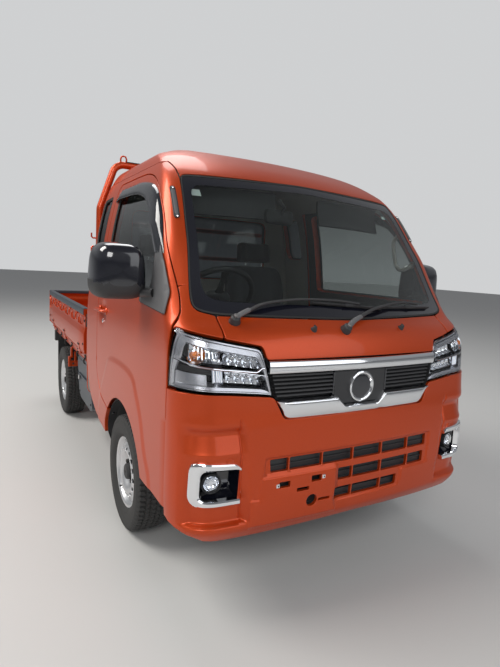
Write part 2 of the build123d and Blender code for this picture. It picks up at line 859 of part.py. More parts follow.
with BuildPart() as tail_gate:
    add(middle_block(half_width, tail_inner, overall_length, gate_bottom, gate_top))
    for place in tail_hinges:
        ends = (place - barrel_width / 2, place + barrel_width / 2)
        barrel_ends = [(end, station(hinge_station), gate_hinge_height) for end in ends]
        bore_ends = [(place + end * bore_half, station(hinge_station), gate_hinge_height) for end in (-1, 1)]
        web_depth = (station(hinge_station) - gate_hinge_radius, station(hinge_station) + gate_hinge_radius)
        add(rod(*barrel_ends, gate_hinge_radius))
        add(block(*ends, *web_depth, gate_hinge_height, gate_bottom + 2.0))
        add(rod(*bore_ends, bore_radius), mode=Mode.SUBTRACT)
keep(tail_gate.part, "tail_gate")

# Guard frame behind the cab, on the bed's front wall
guard_foot_x = half_width - 82.5
guard_bend_x = half_width - 87.5
guard_shoulder_x = half_width - 177.5
guard_foot_z = bed_floor_height + gate_lift
guard_bend_z = 1560.0
guard_bend_radius = 70.0
guard_top = guard_height - guard_tube / 2
guard_y = station(bed_front) + guard_tube / 2
guard_bar_radius = 13.0
guard_bars_z = (1120.0, 1300.0, 1480.0)
front_wall_half = gate_inner - 2.0
guard_left_half = [
    (guard_foot_x, guard_y, guard_foot_z),
    (guard_bend_x, guard_y, guard_bend_z),
    (guard_shoulder_x, guard_y, guard_top),
]
guard_right_half = [(-x, y, z) for x, y, z in reversed(guard_left_half)]
foot_direction = (guard_bend_x - guard_foot_x, 0, guard_bend_z - guard_foot_z)
with BuildPart() as bed_guard:
    with BuildLine():
        FilletPolyline(guard_left_half + guard_right_half, radius=guard_bend_radius)
    with BuildSketch(Plane(origin=guard_left_half[0], z_dir=foot_direction)):
        Circle(guard_tube / 2)
    sweep()
    for height in guard_bars_z:
        add(rod((-guard_bend_x, guard_y, height), (guard_bend_x, guard_y, height), guard_bar_radius))
    add(middle_block(front_wall_half, bed_front, deck_front, bed_rail_bottom, gate_top))
keep(bed_guard.part, "bed_guard")

# Rear bumper bar with two plate holes
bar_half = 470.0
bar_wall = 25.0
bar_low = 396.0
bar_high = 488.0
bar_rear = rail_rear + bar_wall
plate_hole_radius = 3.5
plate_hole_spacing = 210.0
plate_plane = Plane(
    origin=(0, station(bar_rear), (bar_low + bar_high) / 2), x_dir=(1, 0, 0), z_dir=(0, 1, 0)
)
with BuildPart() as rear_bumper:
    add(middle_block(bar_half, rail_rear, bar_rear, bar_low, bar_high))
    with Locations(plate_plane):
        with GridLocations(plate_hole_spacing, 0, 2, 1):
            Hole(plate_hole_radius)
keep(rear_bumper.part, "rear_bumper")

# Tail lamps, hung from the bed's rear rail
tail_lamp_inner = bar_half + 10.0
tail_lamp_outer = half_width - 37.5
tail_lamp_low = 490.0
tail_lamp_high = 590.0
tail_lamp_front = deck_rear - bed_rail_width - 28.5
tail_lamp_rear = tail_lamp_front + 65.0
lamp_arm_rear = deck_rear - 10.0
with BuildPart() as tail_lamps:
    for side, sign in sides:
        lamp_sides = (tail_lamp_inner, tail_lamp_outer)
        arm_sides = (tail_lamp_inner, tail_lamp_inner + 40.0)
        arm_front = deck_rear - bed_rail_width
        add(side_block(sign, *lamp_sides, tail_lamp_front, tail_lamp_rear, tail_lamp_low, tail_lamp_high))
        add(side_block(sign, *arm_sides, arm_front, lamp_arm_rear, tail_lamp_high - 1.0, bed_rail_bottom))
keep(tail_lamps.part, "tail_lamps")

# Mud flaps before and behind the rear wheels, hung from the bed's side rails
flap_wall = 6.0
flap_inner = rear_track / 2 - 80.0
flap_outer = half_width - 22.5
rear_wheel_station = front_overhang + wheelbase
front_flap = rear_wheel_station - arch_radius - flap_wall
rear_flap = rear_wheel_station + arch_radius
with BuildPart() as mud_flaps:
    for side, sign in sides:
        flap_sides = (flap_inner, flap_outer)
        add(side_block(sign, *flap_sides, rear_flap, rear_flap + flap_wall, tyre_radius, bed_rail_bottom))
        add(side_block(sign, *flap_sides, front_flap, front_flap + flap_wall, 400.0, bed_rail_bottom))
keep(mud_flaps.part, "mud_flaps")

# Side covers under the bed between the cab and the rear wheels
cover_inner = half_width - 177.5
cover_outer = half_width - 42.5
cover_front = bed_front + 10.0
cover_rear = 1990.0
cover_bottom = 400.0
with BuildPart() as side_covers:
    for side, sign in sides:
        cover_ends = (cover_front, cover_rear)
        add(side_block(sign, cover_inner, cover_outer, *cover_ends, cover_bottom, bed_rail_bottom))
keep(side_covers.part, "side_covers")

# Engine and gearbox under the seats, as one plain block
engine_front = 1090.0
engine_rear = 1540.0
engine_half = 230.0
engine_bottom = 230.0
engine_top = seat_deck - deck_plate - 10.0
gearbox_half = 100.0
gearbox_rear = 1960.0
gearbox_top = 395.0
flange_radius = 36.0
flange_length = 20.0
axle_centre = Vector(0, rear_axle_y, tyre_radius)
shaft_front = Vector(0, station(gearbox_rear) + flange_length / 2, gearbox_top - flange_radius)
shaft_direction = (axle_centre - shaft_front).normalized()
with BuildPart() as engine:
    add(middle_block(engine_half, engine_front, engine_rear, engine_bottom, engine_top))
    gearbox_bottom = front_rail_bottom + member_inset
    add(middle_block(gearbox_half, engine_rear - 5.0, gearbox_rear, gearbox_bottom, gearbox_top))
    add(rod(tuple(shaft_front - shaft_direction * flange_length), tuple(shaft_front), flange_radius))
keep(engine.part, "engine")

# Fuel tank on the frame's left side
tank_front = 1760.0
tank_rear = 2150.0
tank_outer = cover_inner - 7.0
tank_bottom = 330.0
tank_top = 590.0
tank_edge_radius = 25.0
with BuildPart() as fuel_tank:
    add(side_block(1, tank_inner, tank_outer, tank_front, tank_rear, tank_bottom, tank_top))
    fillet(fuel_tank.edges().filter_by(Axis.Y), tank_edge_radius)
keep(fuel_tank.part, "fuel_tank")

# Exhaust pipe with its muffler, one row per length: front station, rear station, radius
exhaust_x = -230.0
exhaust_z = 330.0
exhaust_lengths = [
    (1600.0, 1950.0, 19.0),
    (1940.0, 2330.0, 75.0),
    (2330.0, 2470.0, 19.0),
]
with BuildPart() as exhaust:
    for front, rear, radius in exhaust_lengths:
        add(rod((exhaust_x, station(front), exhaust_z), (exhaust_x, station(rear), exhaust_z), radius))
keep(exhaust.part, "exhaust")

# Propeller shaft between the flanges of the gearbox and the rear axle
axle_tube_radius = 33.0
differential_radius = 115.0
differential_half = 70.0
propeller_radius = 26.0
shaft_rear = axle_centre - shaft_direction * (differential_radius + flange_length)
with BuildPart() as propeller_shaft:
    add(rod(tuple(shaft_front), tuple(shaft_rear), propeller_radius))
keep(propeller_shaft.part, "propeller_shaft")

# Rear axle with its brake drums, spindles and leaf springs, whose eyes hang from the rails
drum_radius = 105.0
drum_gap = 8.0
drum_width = 55.0
spindle_length = 26.0
spindle_radius = hub_bore_radius - pin_clearance
spring_x = 470.0
spring_half_length = 520.0
spring_width = 55.0
spring_stack = 36.0
spring_leaf = 12.0
spring_eye_radius = 16.0
spring_eye_z = rear_rail_bottom - 4.0
spring_low = tyre_radius + axle_tube_radius - 2.0
spring_end_low = spring_eye_z - spring_eye_radius - 2.0
spring_end_high = spring_end_low + spring_leaf
drum_face = rear_track / 2 + disc_offset - drum_gap
spring_front_y = rear_axle_y - spring_half_length
spring_rear_y = rear_axle_y + spring_half_length
axle_plane = Plane(origin=(0, rear_axle_y, tyre_radius), x_dir=(0, 1, 0), z_dir=(1, 0, 0))
with BuildPart() as rear_axle:
    tube_end = drum_face - drum_width
    axle_ends = [(end * tube_end, rear_axle_y, tyre_radius) for end in (-1, 1)]
    add(rod(*axle_ends, axle_tube_radius))
    with BuildSketch(axle_plane):
        Circle(differential_radius)
    extrude(amount=differential_half, both=True)
    add(rod(tuple(shaft_rear), tuple(axle_centre), flange_radius))
    for side, sign in sides:
        drum_inner = (tube_end * sign, rear_axle_y, tyre_radius)
        drum_outer = (drum_face * sign, rear_axle_y, tyre_radius)
        spindle_end = ((drum_face + spindle_length) * sign, rear_axle_y, tyre_radius)
        add(rod(drum_inner, drum_outer, drum_radius))
        add(rod(drum_outer, spindle_end, spindle_radius))
        with BuildSketch(Plane.YZ.offset(spring_x * sign - spring_width / 2)):
            with BuildLine():
                ThreePointArc(
                    (spring_front_y, spring_end_low),
                    (rear_axle_y, spring_low),
                    (spring_rear_y, spring_end_low),
                )
                Line((spring_rear_y, spring_end_low), (spring_rear_y, spring_end_high))
                ThreePointArc(
                    (spring_rear_y, spring_end_high),
                    (rear_axle_y, spring_low + spring_stack),
                    (spring_front_y, spring_end_high),
                )
                Line((spring_front_y, spring_end_high), (spring_front_y, spring_end_low))
            make_face()
        extrude(amount=spring_width)
        for eye_y in (spring_front_y + 10.0, spring_rear_y - 10.0):
            eye_inner = (rail_outer * sign, eye_y, spring_eye_z)
            eye_outer = ((spring_x + spring_width / 2) * sign, eye_y, spring_eye_z)
            add(rod(eye_inner, eye_outer, spring_eye_radius))
keep(rear_axle.part, "rear_axle")

# Front suspension: crossmember, lower arms with a stud under each knuckle, and the struts' top mounts
arm_z = tyre_radius - 80.0
arm_wall = 20.0
arm_inner_x = 300.0
arm_root_half = 60.0
arm_tip_half = 20.0
member_half = 70.0
member_bottom = arm_z + 35.0
stud_radius = 9.0
stud_length = 34.0
mount_radius = 45.0
with BuildPart() as front_suspension:
    member_ends = (front_overhang - member_half, front_overhang + member_half)
    add(middle_block(rail_outer, *member_ends, member_bottom, front_rail_bottom))
    for side, sign in sides:
        root_ends = (front_overhang - arm_root_half, front_overhang + arm_root_half)
        add(side_block(sign, arm_inner_x, rail_outer, *root_ends, arm_z - 16.0, member_bottom + 1.0))
        with BuildSketch(Plane.XY.offset(arm_z - 16.0)):
            with BuildLine():
                Polyline(
                    [
                        (arm_inner_x * sign, front_axle_y - arm_root_half),
                        ((kingpin_x + 14.0) * sign, front_axle_y - arm_tip_half),
                        ((kingpin_x + 14.0) * sign, front_axle_y + arm_tip_half),
                        (arm_inner_x * sign, front_axle_y + arm_root_half),
                    ],
                    close=True,
                )
            make_face()
        extrude(amount=arm_wall)
        stud_foot = (kingpin_x * sign, front_axle_y, arm_z)
        stud_end = (kingpin_x * sign, front_axle_y, arm_z + stud_length)
        mount_foot = (kingpin_x * sign, front_axle_y, strut_top)
        mount_end = (kingpin_x * sign, front_axle_y, tower_inside)
        add(rod(stud_foot, stud_end, stud_radius))
        add(rod(mount_foot, mount_end, mount_radius))
        add(rod(mount_foot, mount_end, stud_radius + pin_clearance), mode=Mode.SUBTRACT)
keep(front_suspension.part, "front_suspension")

# Steering knuckles with strut tubes, spring plates, brake drums and spindles
strut_radius = 23.0
spring_plate_radius = 54.0
spring_plate_z = 545.0
spring_plate_wall = 11.0
hub_radius = 45.0
front_drum_face = front_track / 2 + disc_offset - drum_gap
knuckle_low = arm_z + 10.0
strut_end = strut_top - 6.0
mount_pin_end = tower_inside - 2.0
for side, sign in sides:
    x = kingpin_x * sign
    drum_inner = ((front_drum_face - drum_width) * sign, front_axle_y, tyre_radius)
    drum_outer = (front_drum_face * sign, front_axle_y, tyre_radius)
    spindle_end = ((front_drum_face + spindle_length) * sign, front_axle_y, tyre_radius)
    plate_foot = (x, front_axle_y, spring_plate_z)
    stud_bore_foot = (x, front_axle_y, knuckle_low - cut_margin)
    stud_bore_end = (x, front_axle_y, arm_z + stud_length + 5.0)
    with BuildPart() as knuckle:
        add(rod((x, front_axle_y, knuckle_low), (x, front_axle_y, strut_end), strut_radius))
        add(rod((x, front_axle_y, strut_end), (x, front_axle_y, mount_pin_end), stud_radius))
        add(rod(plate_foot, (x, front_axle_y, spring_plate_z + spring_plate_wall), spring_plate_radius))
        add(rod((x, front_axle_y, tyre_radius), drum_outer, hub_radius))
        add(rod(drum_inner, drum_outer, drum_radius))
        add(rod(drum_outer, spindle_end, spindle_radius))
        add(rod(stud_bore_foot, stud_bore_end, stud_radius + pin_clearance), mode=Mode.SUBTRACT)
    keep(knuckle.part, f"knuckle_{side}")

# Wheels: tyres, and steel rims with slotted discs
wheels = (
    ("front_left", 1, front_track / 2, front_axle_y),
    ("front_right", -1, front_track / 2, front_axle_y),
    ("rear_left", 1, rear_track / 2, rear_axle_y),
    ("rear_right", -1, rear_track / 2, rear_axle_y),
)
half_rim = rim_width / 2
rim_inner_radius = rim_radius - rim_wall
bead_half = half_rim - rim_wall
shoulder_radius = tyre_radius - tread_shoulder_drop
widest_radius = (rim_flange_radius + tyre_radius) / 2 - 2.5
for name, sign, centre_x, centre_y in wheels:
    hub = (centre_x * sign, centre_y, tyre_radius)
    axle = Axis(hub, (1, 0, 0))
    section = Plane(origin=hub, x_dir=(sign, 0, 0), z_dir=(0, -sign, 0))
    with BuildPart() as tyre:
        with BuildSketch(section):
            with BuildLine():
                Line((-bead_half, rim_radius), (bead_half, rim_radius))
                Line((bead_half, rim_radius), (bead_half, rim_flange_radius))
                ThreePointArc(
                    (bead_half, rim_flange_radius),
                    (tyre_width / 2, widest_radius),
                    (tread_half, shoulder_radius),
                )
                ThreePointArc((tread_half, shoulder_radius), (0, tyre_radius), (-tread_half, shoulder_radius))
                ThreePointArc(
                    (-tread_half, shoulder_radius),
                    (-tyre_width / 2, widest_radius),
                    (-bead_half, rim_flange_radius),
                )
                Line((-bead_half, rim_flange_radius), (-bead_half, rim_radius))
            make_face()
        revolve(axis=axle)
    keep(tyre.part, f"tyre_{name}")

    with BuildPart() as rim:
        with BuildSketch(section):
            with BuildLine():
                Polyline(
                    [
                        (-half_rim, rim_flange_radius),
                        (-half_rim, rim_inner_radius),
                        (half_rim, rim_inner_radius),
                        (half_rim, rim_flange_radius),
                        (bead_half, rim_flange_radius),
                        (bead_half, rim_radius),
                        (-bead_half, rim_radius),
                        (-bead_half, rim_flange_radius),
                    ],
                    close=True,
                )
            make_face()
            with BuildLine():
                Polyline(
                    [
                        (disc_offset, hub_bore_radius),
                        (disc_offset, 80.0),
                        (disc_offset + 12.0, 92.0),
                        (disc_offset - 8.0, 128.0),
                        (disc_offset - 20.0, rim_inner_radius + 1.0),
                        (disc_offset - 14.0, rim_inner_radius + 1.0),
                        (disc_offset - 1.0, 130.0),
                        (disc_offset + 18.0, 95.0),
                        (disc_offset + 6.0, 80.0),
                        (disc_offset + 6.0, hub_bore_radius),
                    ],
                    close=True,
                )
            make_face()
        revolve(axis=axle)
        with BuildSketch(Plane(origin=hub, x_dir=(0, 1, 0), z_dir=(sign, 0, 0)).offset(disc_offset - 25.0)):
            with PolarLocations(vent_circle, vent_count):
                SlotOverall(vent_length, vent_width, rotation=90.0)
        extrude(amount=60.0, mode=Mode.SUBTRACT)
    keep(rim.part, f"rim_{name}")

# Door mirrors: a head on an arm from the front corner of each door window
mirror_inner = half_width + 17.5
mirror_outer = half_width + 187.5
mirror_front = 480.0
mirror_rear = 590.0
mirror_low = 1105.0
mirror_high = 1325.0
mirror_edge_radius = 30.0
arm_front = mirror_front - 60.0
arm_rear = mirror_front + 40.0
arm_low = belt_height - 20.0
arm_high = belt_height + 25.0
arm_root = half_width - 37.5
arm_end = mirror_inner + 25.0
for side, sign in sides:
    with BuildPart() as mirror:
        add(side_block(sign, mirror_inner, mirror_outer, mirror_front, mirror_rear, mirror_low, mirror_high))
        fillet(mirror.edges(), mirror_edge_radius)
        add(side_block(sign, arm_root, arm_end, arm_front, arm_rear, arm_low, arm_high))
        add(outer_form, mode=Mode.SUBTRACT)
    keep(mirror.part, f"mirror_{side}")
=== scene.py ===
import math

import bpy
import numpy as np
from mathutils import Matrix, Vector
from mathutils.geometry import delaunay_2d_cdt


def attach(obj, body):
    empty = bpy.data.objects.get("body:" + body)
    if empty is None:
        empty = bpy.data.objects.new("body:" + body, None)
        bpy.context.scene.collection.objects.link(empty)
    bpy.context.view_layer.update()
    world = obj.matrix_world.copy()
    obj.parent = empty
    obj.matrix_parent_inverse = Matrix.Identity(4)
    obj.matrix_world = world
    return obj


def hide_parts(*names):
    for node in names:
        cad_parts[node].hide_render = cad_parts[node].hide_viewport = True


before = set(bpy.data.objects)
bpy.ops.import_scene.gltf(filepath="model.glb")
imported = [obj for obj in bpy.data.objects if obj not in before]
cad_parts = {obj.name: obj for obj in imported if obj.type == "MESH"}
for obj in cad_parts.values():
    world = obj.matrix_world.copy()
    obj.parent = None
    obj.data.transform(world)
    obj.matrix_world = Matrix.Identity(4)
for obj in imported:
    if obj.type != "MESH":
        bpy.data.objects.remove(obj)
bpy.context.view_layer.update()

# Camera, fitted to the photograph: focal length and height in pixels, and the sensor in millimetres
FOCAL, PHOTO_HEIGHT, SENSOR = 479.19, 667, 36
yaw, pitch, roll = (math.radians(a) for a in (-29.598, -7.913, 3.161))
ahead = Vector((-math.sin(yaw) * math.cos(pitch), math.cos(yaw) * math.cos(pitch), math.sin(pitch)))
level = Vector((math.cos(yaw), math.sin(yaw), 0))
upright = level.cross(ahead)
right = level * math.cos(roll) + upright * math.sin(roll)
above = upright * math.cos(roll) - level * math.sin(roll)
camera = bpy.data.objects.new("camera", bpy.data.cameras.new("camera"))
bpy.context.scene.collection.objects.link(camera)
camera.data.sensor_width = SENSOR
camera.data.lens = FOCAL / PHOTO_HEIGHT * SENSOR
camera.data.clip_start, camera.data.clip_end = 0.05, 200
place = Matrix.Identity(4)
for i in range(3):
    place[i][:3] = right[i], above[i], -ahead[i]
place.translation = Vector((-1.2913, -3.0431, 1.2583))
camera.matrix_world = place
bpy.context.scene.camera = camera
bpy.context.scene.view_settings.view_transform = "Standard"


# Materials
def material(name, color, rough=0.5, metal=0.0, **inputs):
    m = bpy.data.materials.new(name)
    m.use_nodes = True
    s = m.node_tree.nodes["Principled BSDF"].inputs
    s["Base Color"].default_value = (*color, 1)
    s["Roughness"].default_value = rough
    s["Metallic"].default_value = metal
    for key, value in inputs.items():
        s[key.replace("_", " ")].default_value = value
    return m


def node(m, kind, **settings):
    n = m.node_tree.nodes.new(kind)
    for key, value in settings.items():
        if key in n.inputs:
            n.inputs[key].default_value = value
        else:
            setattr(n, key, value)
    return n


def link(m, a, out, b, into):
    m.node_tree.links.new(a.outputs[out], b.inputs[into])


def grain(m, scale, bump=0.0, distance=0.001, color=None, rough=None, detail=4.0, kind="ShaderNodeTexNoise"):
    """A procedural grain in the truck's own metres: bump, and a shift of colour or roughness."""
    bsdf = m.node_tree.nodes["Principled BSDF"]
    where = node(m, "ShaderNodeTexCoord")
    tex = node(m, kind, Scale=scale)
    if "Detail" in tex.inputs:
        tex.inputs["Detail"].default_value = detail
    link(m, where, "Object", tex, "Vector")
    out = "Fac" if kind == "ShaderNodeTexNoise" else "Distance"
    if bump:
        b = node(m, "ShaderNodeBump", Strength=bump, Distance=distance)
        link(m, tex, out, b, "Height")
        if bsdf.inputs["Normal"].links:
            m.node_tree.links.new(bsdf.inputs["Normal"].links[0].from_socket, b.inputs["Normal"])
        link(m, b, "Normal", bsdf, "Normal")
    if color:
        mix = node(m, "ShaderNodeMix", data_type="RGBA")
        mix.inputs["A"].default_value = bsdf.inputs["Base Color"].default_value
        mix.inputs["B"].default_value = (*color, 1)
        link(m, tex, out, mix, "Factor")
        m.node_tree.links.new(mix.outputs["Result"], bsdf.inputs["Base Color"])
    if rough:
        r = node(m, "ShaderNodeMapRange")
        r.inputs["To Min"].default_value, r.inputs["To Max"].default_value = rough
        link(m, tex, out, r, "Value")
        link(m, r, "Result", bsdf, "Roughness")
    return m


M = {
    "paint": grain(material("orange_metallic", (0.44, 0.037, 0.003), 0.36, 0.5, Coat_Weight=0.27,
        Coat_Roughness=0.05), 900, 0.05, 0.0002, (0.62, 0.072, 0.006), detail=1),
    "black_paint": grain(material("black_paint", (0.012, 0.012, 0.014), 0.35, 0, Coat_Weight=0.3), 260, 0.06,
        0.0004, rough=(0.3, 0.42)),
    "gloss": grain(material("gloss_black", (0.006, 0.0065, 0.012), 0.12, 0, Coat_Weight=1.0,
        Coat_Roughness=0.03), 30, 0.02, 0.0003, rough=(0.08, 0.16)),
    "plastic": grain(material("black_plastic", (0.022, 0.022, 0.024), 0.55), 700, 0.25, 0.0004,
        (0.035, 0.035, 0.037)),
    "grey_plastic": grain(material("grey_plastic", (0.10, 0.10, 0.105), 0.5), 700, 0.2, 0.0004,
        (0.13, 0.13, 0.135)),
    "dash": grain(material("dash_plastic", (0.030, 0.031, 0.034), 0.6), 900, 0.35, 0.0006,
        (0.045, 0.046, 0.05)),
    "beige": grain(material("trim_beige", (0.42, 0.40, 0.37), 0.75), 500, 0.3, 0.0005, (0.5, 0.48, 0.45)),
    "chrome": grain(material("chrome", (0.82, 0.83, 0.85), 0.06, 1.0), 14, 0.01, 0.0006, rough=(0.04, 0.11)),
    "steel": grain(material("wheel_silver", (0.62, 0.63, 0.65), 0.34, 0.85, Coat_Weight=0.3), 500, 0.06,
        0.0003, (0.70, 0.71, 0.73)),
    "engine": grain(material("engine_metal", (0.28, 0.28, 0.29), 0.55, 0.7), 40, 0.3, 0.002,
        (0.16, 0.15, 0.14), rough=(0.4, 0.75)),
    "exhaust": grain(material("exhaust_steel", (0.36, 0.33, 0.30), 0.45, 0.9), 25, 0.15, 0.001,
        (0.22, 0.16, 0.12), rough=(0.35, 0.7)),
    "chassis": grain(material("chassis_black", (0.018, 0.018, 0.019), 0.5, 0.1), 60, 0.2, 0.001,
        (0.035, 0.033, 0.03), rough=(0.4, 0.7)),
    "strip": grain(material("guard_strip", (0.045, 0.055, 0.07), 0.42, 0.2), 200, 0.12, 0.0005,
        (0.06, 0.07, 0.085)),
    "rubber": grain(material("rubber", (0.014, 0.014, 0.014), 0.7), 300, 0.2, 0.0005, (0.022, 0.022, 0.022)),
    "tyre": grain(material("tyre", (0.026, 0.026, 0.0265), 0.74), 120, 0.25, 0.0008, (0.045, 0.044, 0.043),
        rough=(0.65, 0.9)),
    "fabric": grain(material("seat_fabric", (0.055, 0.057, 0.062), 0.92, 0, Sheen_Weight=0.4), 1400, 0.6,
        0.0008, (0.085, 0.088, 0.095), kind="ShaderNodeTexVoronoi"),
    "mat": grain(material("cabin_mat", (0.035, 0.035, 0.036), 0.95), 900, 0.6, 0.001, (0.06, 0.06, 0.062)),
    "glass": grain(material("window_glass", (0.70, 0.75, 0.73), 0.0, 0, Transmission_Weight=1.0, IOR=1.42),
        3, 0, 0.0005, (0.73, 0.78, 0.76)),
    "dark_glass": grain(material("privacy_glass", (0.10, 0.11, 0.12), 0.0, 0, Transmission_Weight=1.0,
        IOR=1.42), 3, 0, 0.0005, (0.12, 0.13, 0.14)),
    "smoke": grain(material("smoked_acrylic", (0.035, 0.04, 0.05), 0.02, 0, Transmission_Weight=0.55,
        IOR=1.45, Coat_Weight=0.5), 6, 0.01, 0.0005),
    "lens": grain(material("clear_lens", (0.97, 0.98, 1.0), 0.0, 0, Transmission_Weight=1.0, IOR=1.18), 8,
        0.005, 0.0004),
    "silver": grain(material("lamp_reflector", (0.80, 0.82, 0.85), 0.10, 1.0), 220, 0.05, 0.0008,
        rough=(0.06, 0.2)),
    "satin": grain(material("satin_silver", (0.50, 0.51, 0.55), 0.24, 0.9), 60, 0.04, 0.0008,
        (0.58, 0.59, 0.62)),
    "amber": grain(material("amber_bulb", (0.85, 0.22, 0.03), 0.15, 0, Transmission_Weight=0.35), 90, 0.1,
        0.0005),
    # White that glows: the lamps' LEDs, and also the dial ticks and knob marks, whose glow is painted light
    "lamp_and_painted_glow": grain(material("lamp_and_painted_glow_white", (0.9, 0.93, 1.0), 0.2, 0, Emission_Color=(0.9, 0.95, 1, 1),
        Emission_Strength=0.25), 90, 0.05, 0.0005),
    "red": grain(material("red_lens", (0.32, 0.004, 0.006), 0.15, 0, Transmission_Weight=0.2,
        Coat_Weight=0.3), 160, 0.1, 0.001, kind="ShaderNodeTexVoronoi"),
    "mirror": grain(material("mirror_glass", (0.9, 0.91, 0.92), 0.02, 1.0), 4, 0.004, 0.0004),
    "label": grain(material("blank_sticker", (0.62, 0.72, 0.70), 0.5), 300, 0.05, 0.0002),
}
CAD = {
    "paint": ["cab_rear_wall", "bed_floor", "side_gate_left", "side_gate_right", "tail_gate", "bed_guard",
        "roof_panel", "side_frame_left", "side_frame_right", "door_left", "door_right", "front_panel",
        "front_bumper"],
    "chassis": ["chassis_frame", "rear_bumper", "front_suspension", "knuckle_left", "knuckle_right",
        "rear_axle", "propeller_shaft"],
    "plastic": ["mud_flaps", "side_covers", "mirror_left", "mirror_right", "grille", "fog_lamps"],
    "mat": ["cab_floor"], "dash": ["dashboard", "steering_wheel"], "fabric": ["seats"],
    "glass": ["windshield", "door_glass_left", "door_glass_right"], "dark_glass": ["rear_glass"],
    "silver": ["headlamps"], "red": ["tail_lamps"], "engine": ["engine"], "exhaust": ["exhaust"],
    "black_paint": ["fuel_tank"],
    "steel": ["rim_front_left", "rim_front_right", "rim_rear_left", "rim_rear_right"],
    "tyre": ["tyre_front_left", "tyre_front_right", "tyre_rear_left", "tyre_rear_right"],
}
for look, names in CAD.items():
    for name in names:
        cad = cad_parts[name]
        cad.data.materials.clear()
        cad.data.materials.append(M[look])


# Stage and light
def stage_mesh(name, verts, faces, color, rough=0.6):
    me = bpy.data.meshes.new(name)
    me.from_pydata(verts, [], faces)
    me.materials.append(grain(material(name, color, rough), 40, 0.05, 0.002))
    o = bpy.data.objects.new(name, me)
    bpy.context.scene.collection.objects.link(o)


stage_mesh("floor", [(-40, -40, 0), (40, -40, 0), (40, 40, 0), (-40, 40, 0)], [(0, 1, 2, 3)],
    (0.62, 0.62, 0.61))
world = bpy.data.worlds.new("studio")
bpy.context.scene.world = world
world.use_nodes = True
back = world.node_tree.nodes["Background"]
tex = world.node_tree.nodes.new("ShaderNodeTexCoord")
split = world.node_tree.nodes.new("ShaderNodeSeparateXYZ")
ramp = world.node_tree.nodes.new("ShaderNodeValToRGB")
stops = ((0.0, 0.30), (0.10, 0.16), (0.22, 0.34), (0.50, 0.40), (1.0, 0.16))
for k, (at, grey) in enumerate(stops):
    stop = ramp.color_ramp.elements[k] if k < 2 else ramp.color_ramp.elements.new(at)
    stop.position, stop.color = at, (grey * 0.97, grey * 0.99, grey * 1.03, 1)
path = world.node_tree.nodes.new("ShaderNodeLightPath")
seen = world.node_tree.nodes.new("ShaderNodeMix")
seen.data_type = "RGBA"
seen.inputs["B"].default_value = (0.78, 0.79, 0.80, 1)
world.node_tree.links.new(tex.outputs["Generated"], split.inputs[0])
world.node_tree.links.new(split.outputs["Z"], ramp.inputs["Fac"])
world.node_tree.links.new(ramp.outputs["Color"], seen.inputs["A"])
world.node_tree.links.new(path.outputs["Is Camera Ray"], seen.inputs["Factor"])
world.node_tree.links.new(seen.outputs["Result"], back.inputs["Color"])
back.inputs["Strength"].default_value = 0.8
for name, where, aim, size, power, color in (
    ("key", (-5.5, 1.5, 7.0), (0, 0, 0.8), 4.2, 500, (1.0, 0.97, 0.92)),
    ("front_fill", (2.5, -8.0, 4.5), (0, -1, 0.9), 6.5, 180, (0.95, 0.97, 1.0)),
    ("left_fill", (-4.6, -7.2, 5.2), (0, -1, 0.8), 3.0, 210, (1.0, 0.99, 0.97)),
    ("top", (0.5, 4.5, 7.5), (0, 0.5, 0.8), 4.0, 170, (1.0, 1.0, 1.0)),
):
    lamp = bpy.data.objects.new(name, bpy.data.lights.new(name, "AREA"))
    lamp.data.size = size
    lamp.data.energy = power
    lamp.data.color = color
    lamp.location = where
    lamp.rotation_mode = "QUATERNION"
    lamp.rotation_quaternion = (Vector(aim) - Vector(where)).to_track_quat("-Z", "Y")
    bpy.context.scene.collection.objects.link(lamp)


# Meshes. Lengths are millimetres: x to the truck's left, d behind the nose, z above the ground.
LENGTH, HALF = 3395.0, 737.5
FRONT_AXLE, REAR_AXLE = 795.0, 2695.0
AXLE_HEIGHT = 270.0
GATE_FOOT = 664.0
SIDES = (("left", 1), ("right", -1))
FLIPS = (("left", False), ("right", True))
MIRROR = np.array([-1, 1, 1])


def metres(p):
    return (np.asarray(p, float).reshape(-1, 3) - [0, LENGTH / 2, 0]) / 1000


def full_turn(n):
    return np.linspace(0, 2 * math.pi, n, endpoint=False)


def round_about(centre, radius, angles):
    """Points of a circle, given in two numbers each."""
    return [(centre[0] + radius * math.cos(a), centre[1] + radius * math.sin(a)) for a in angles]


def ellipse(a, b, n):
    return np.stack([a * np.cos(full_turn(n)), b * np.sin(full_turn(n))], 1)


def quads(rows, cols, wrap_rows=False, wrap_cols=True):
    """Faces between rows of points that are numbered row after row."""
    faces = []
    for k in range(rows if wrap_rows else rows - 1):
        low, high = k * cols, (k + 1) % rows * cols
        for i in range(cols if wrap_cols else cols - 1):
            j = (i + 1) % cols
            faces.append((low + i, low + j, high + j, high + i))
    return faces


def piece(name, verts, faces, looks, body="truck", index=None, normals=None, sharp=32, replaces=()):
    me = bpy.data.meshes.new(name)
    me.from_pydata([tuple(v) for v in metres(verts)], [], [tuple(int(i) for i in f) for f in faces])
    looks = [looks] if isinstance(looks, str) else looks
    for look in looks:
        me.materials.append(M[look])
    if index is not None:
        me.polygons.foreach_set("material_index", np.asarray(index, np.int32))
    me.validate(clean_customdata=False)
    me.shade_smooth()
    if normals is not None:
        me.normals_split_custom_set_from_vertices([tuple(n) for n in normals])
    else:
        me.set_sharp_from_angle(angle=math.radians(sharp))
    o = bpy.data.objects.new(name, me)
    bpy.context.scene.collection.objects.link(o)
    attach(o, body)
    if replaces:
        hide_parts(*([replaces] if isinstance(replaces, str) else replaces))
    return o


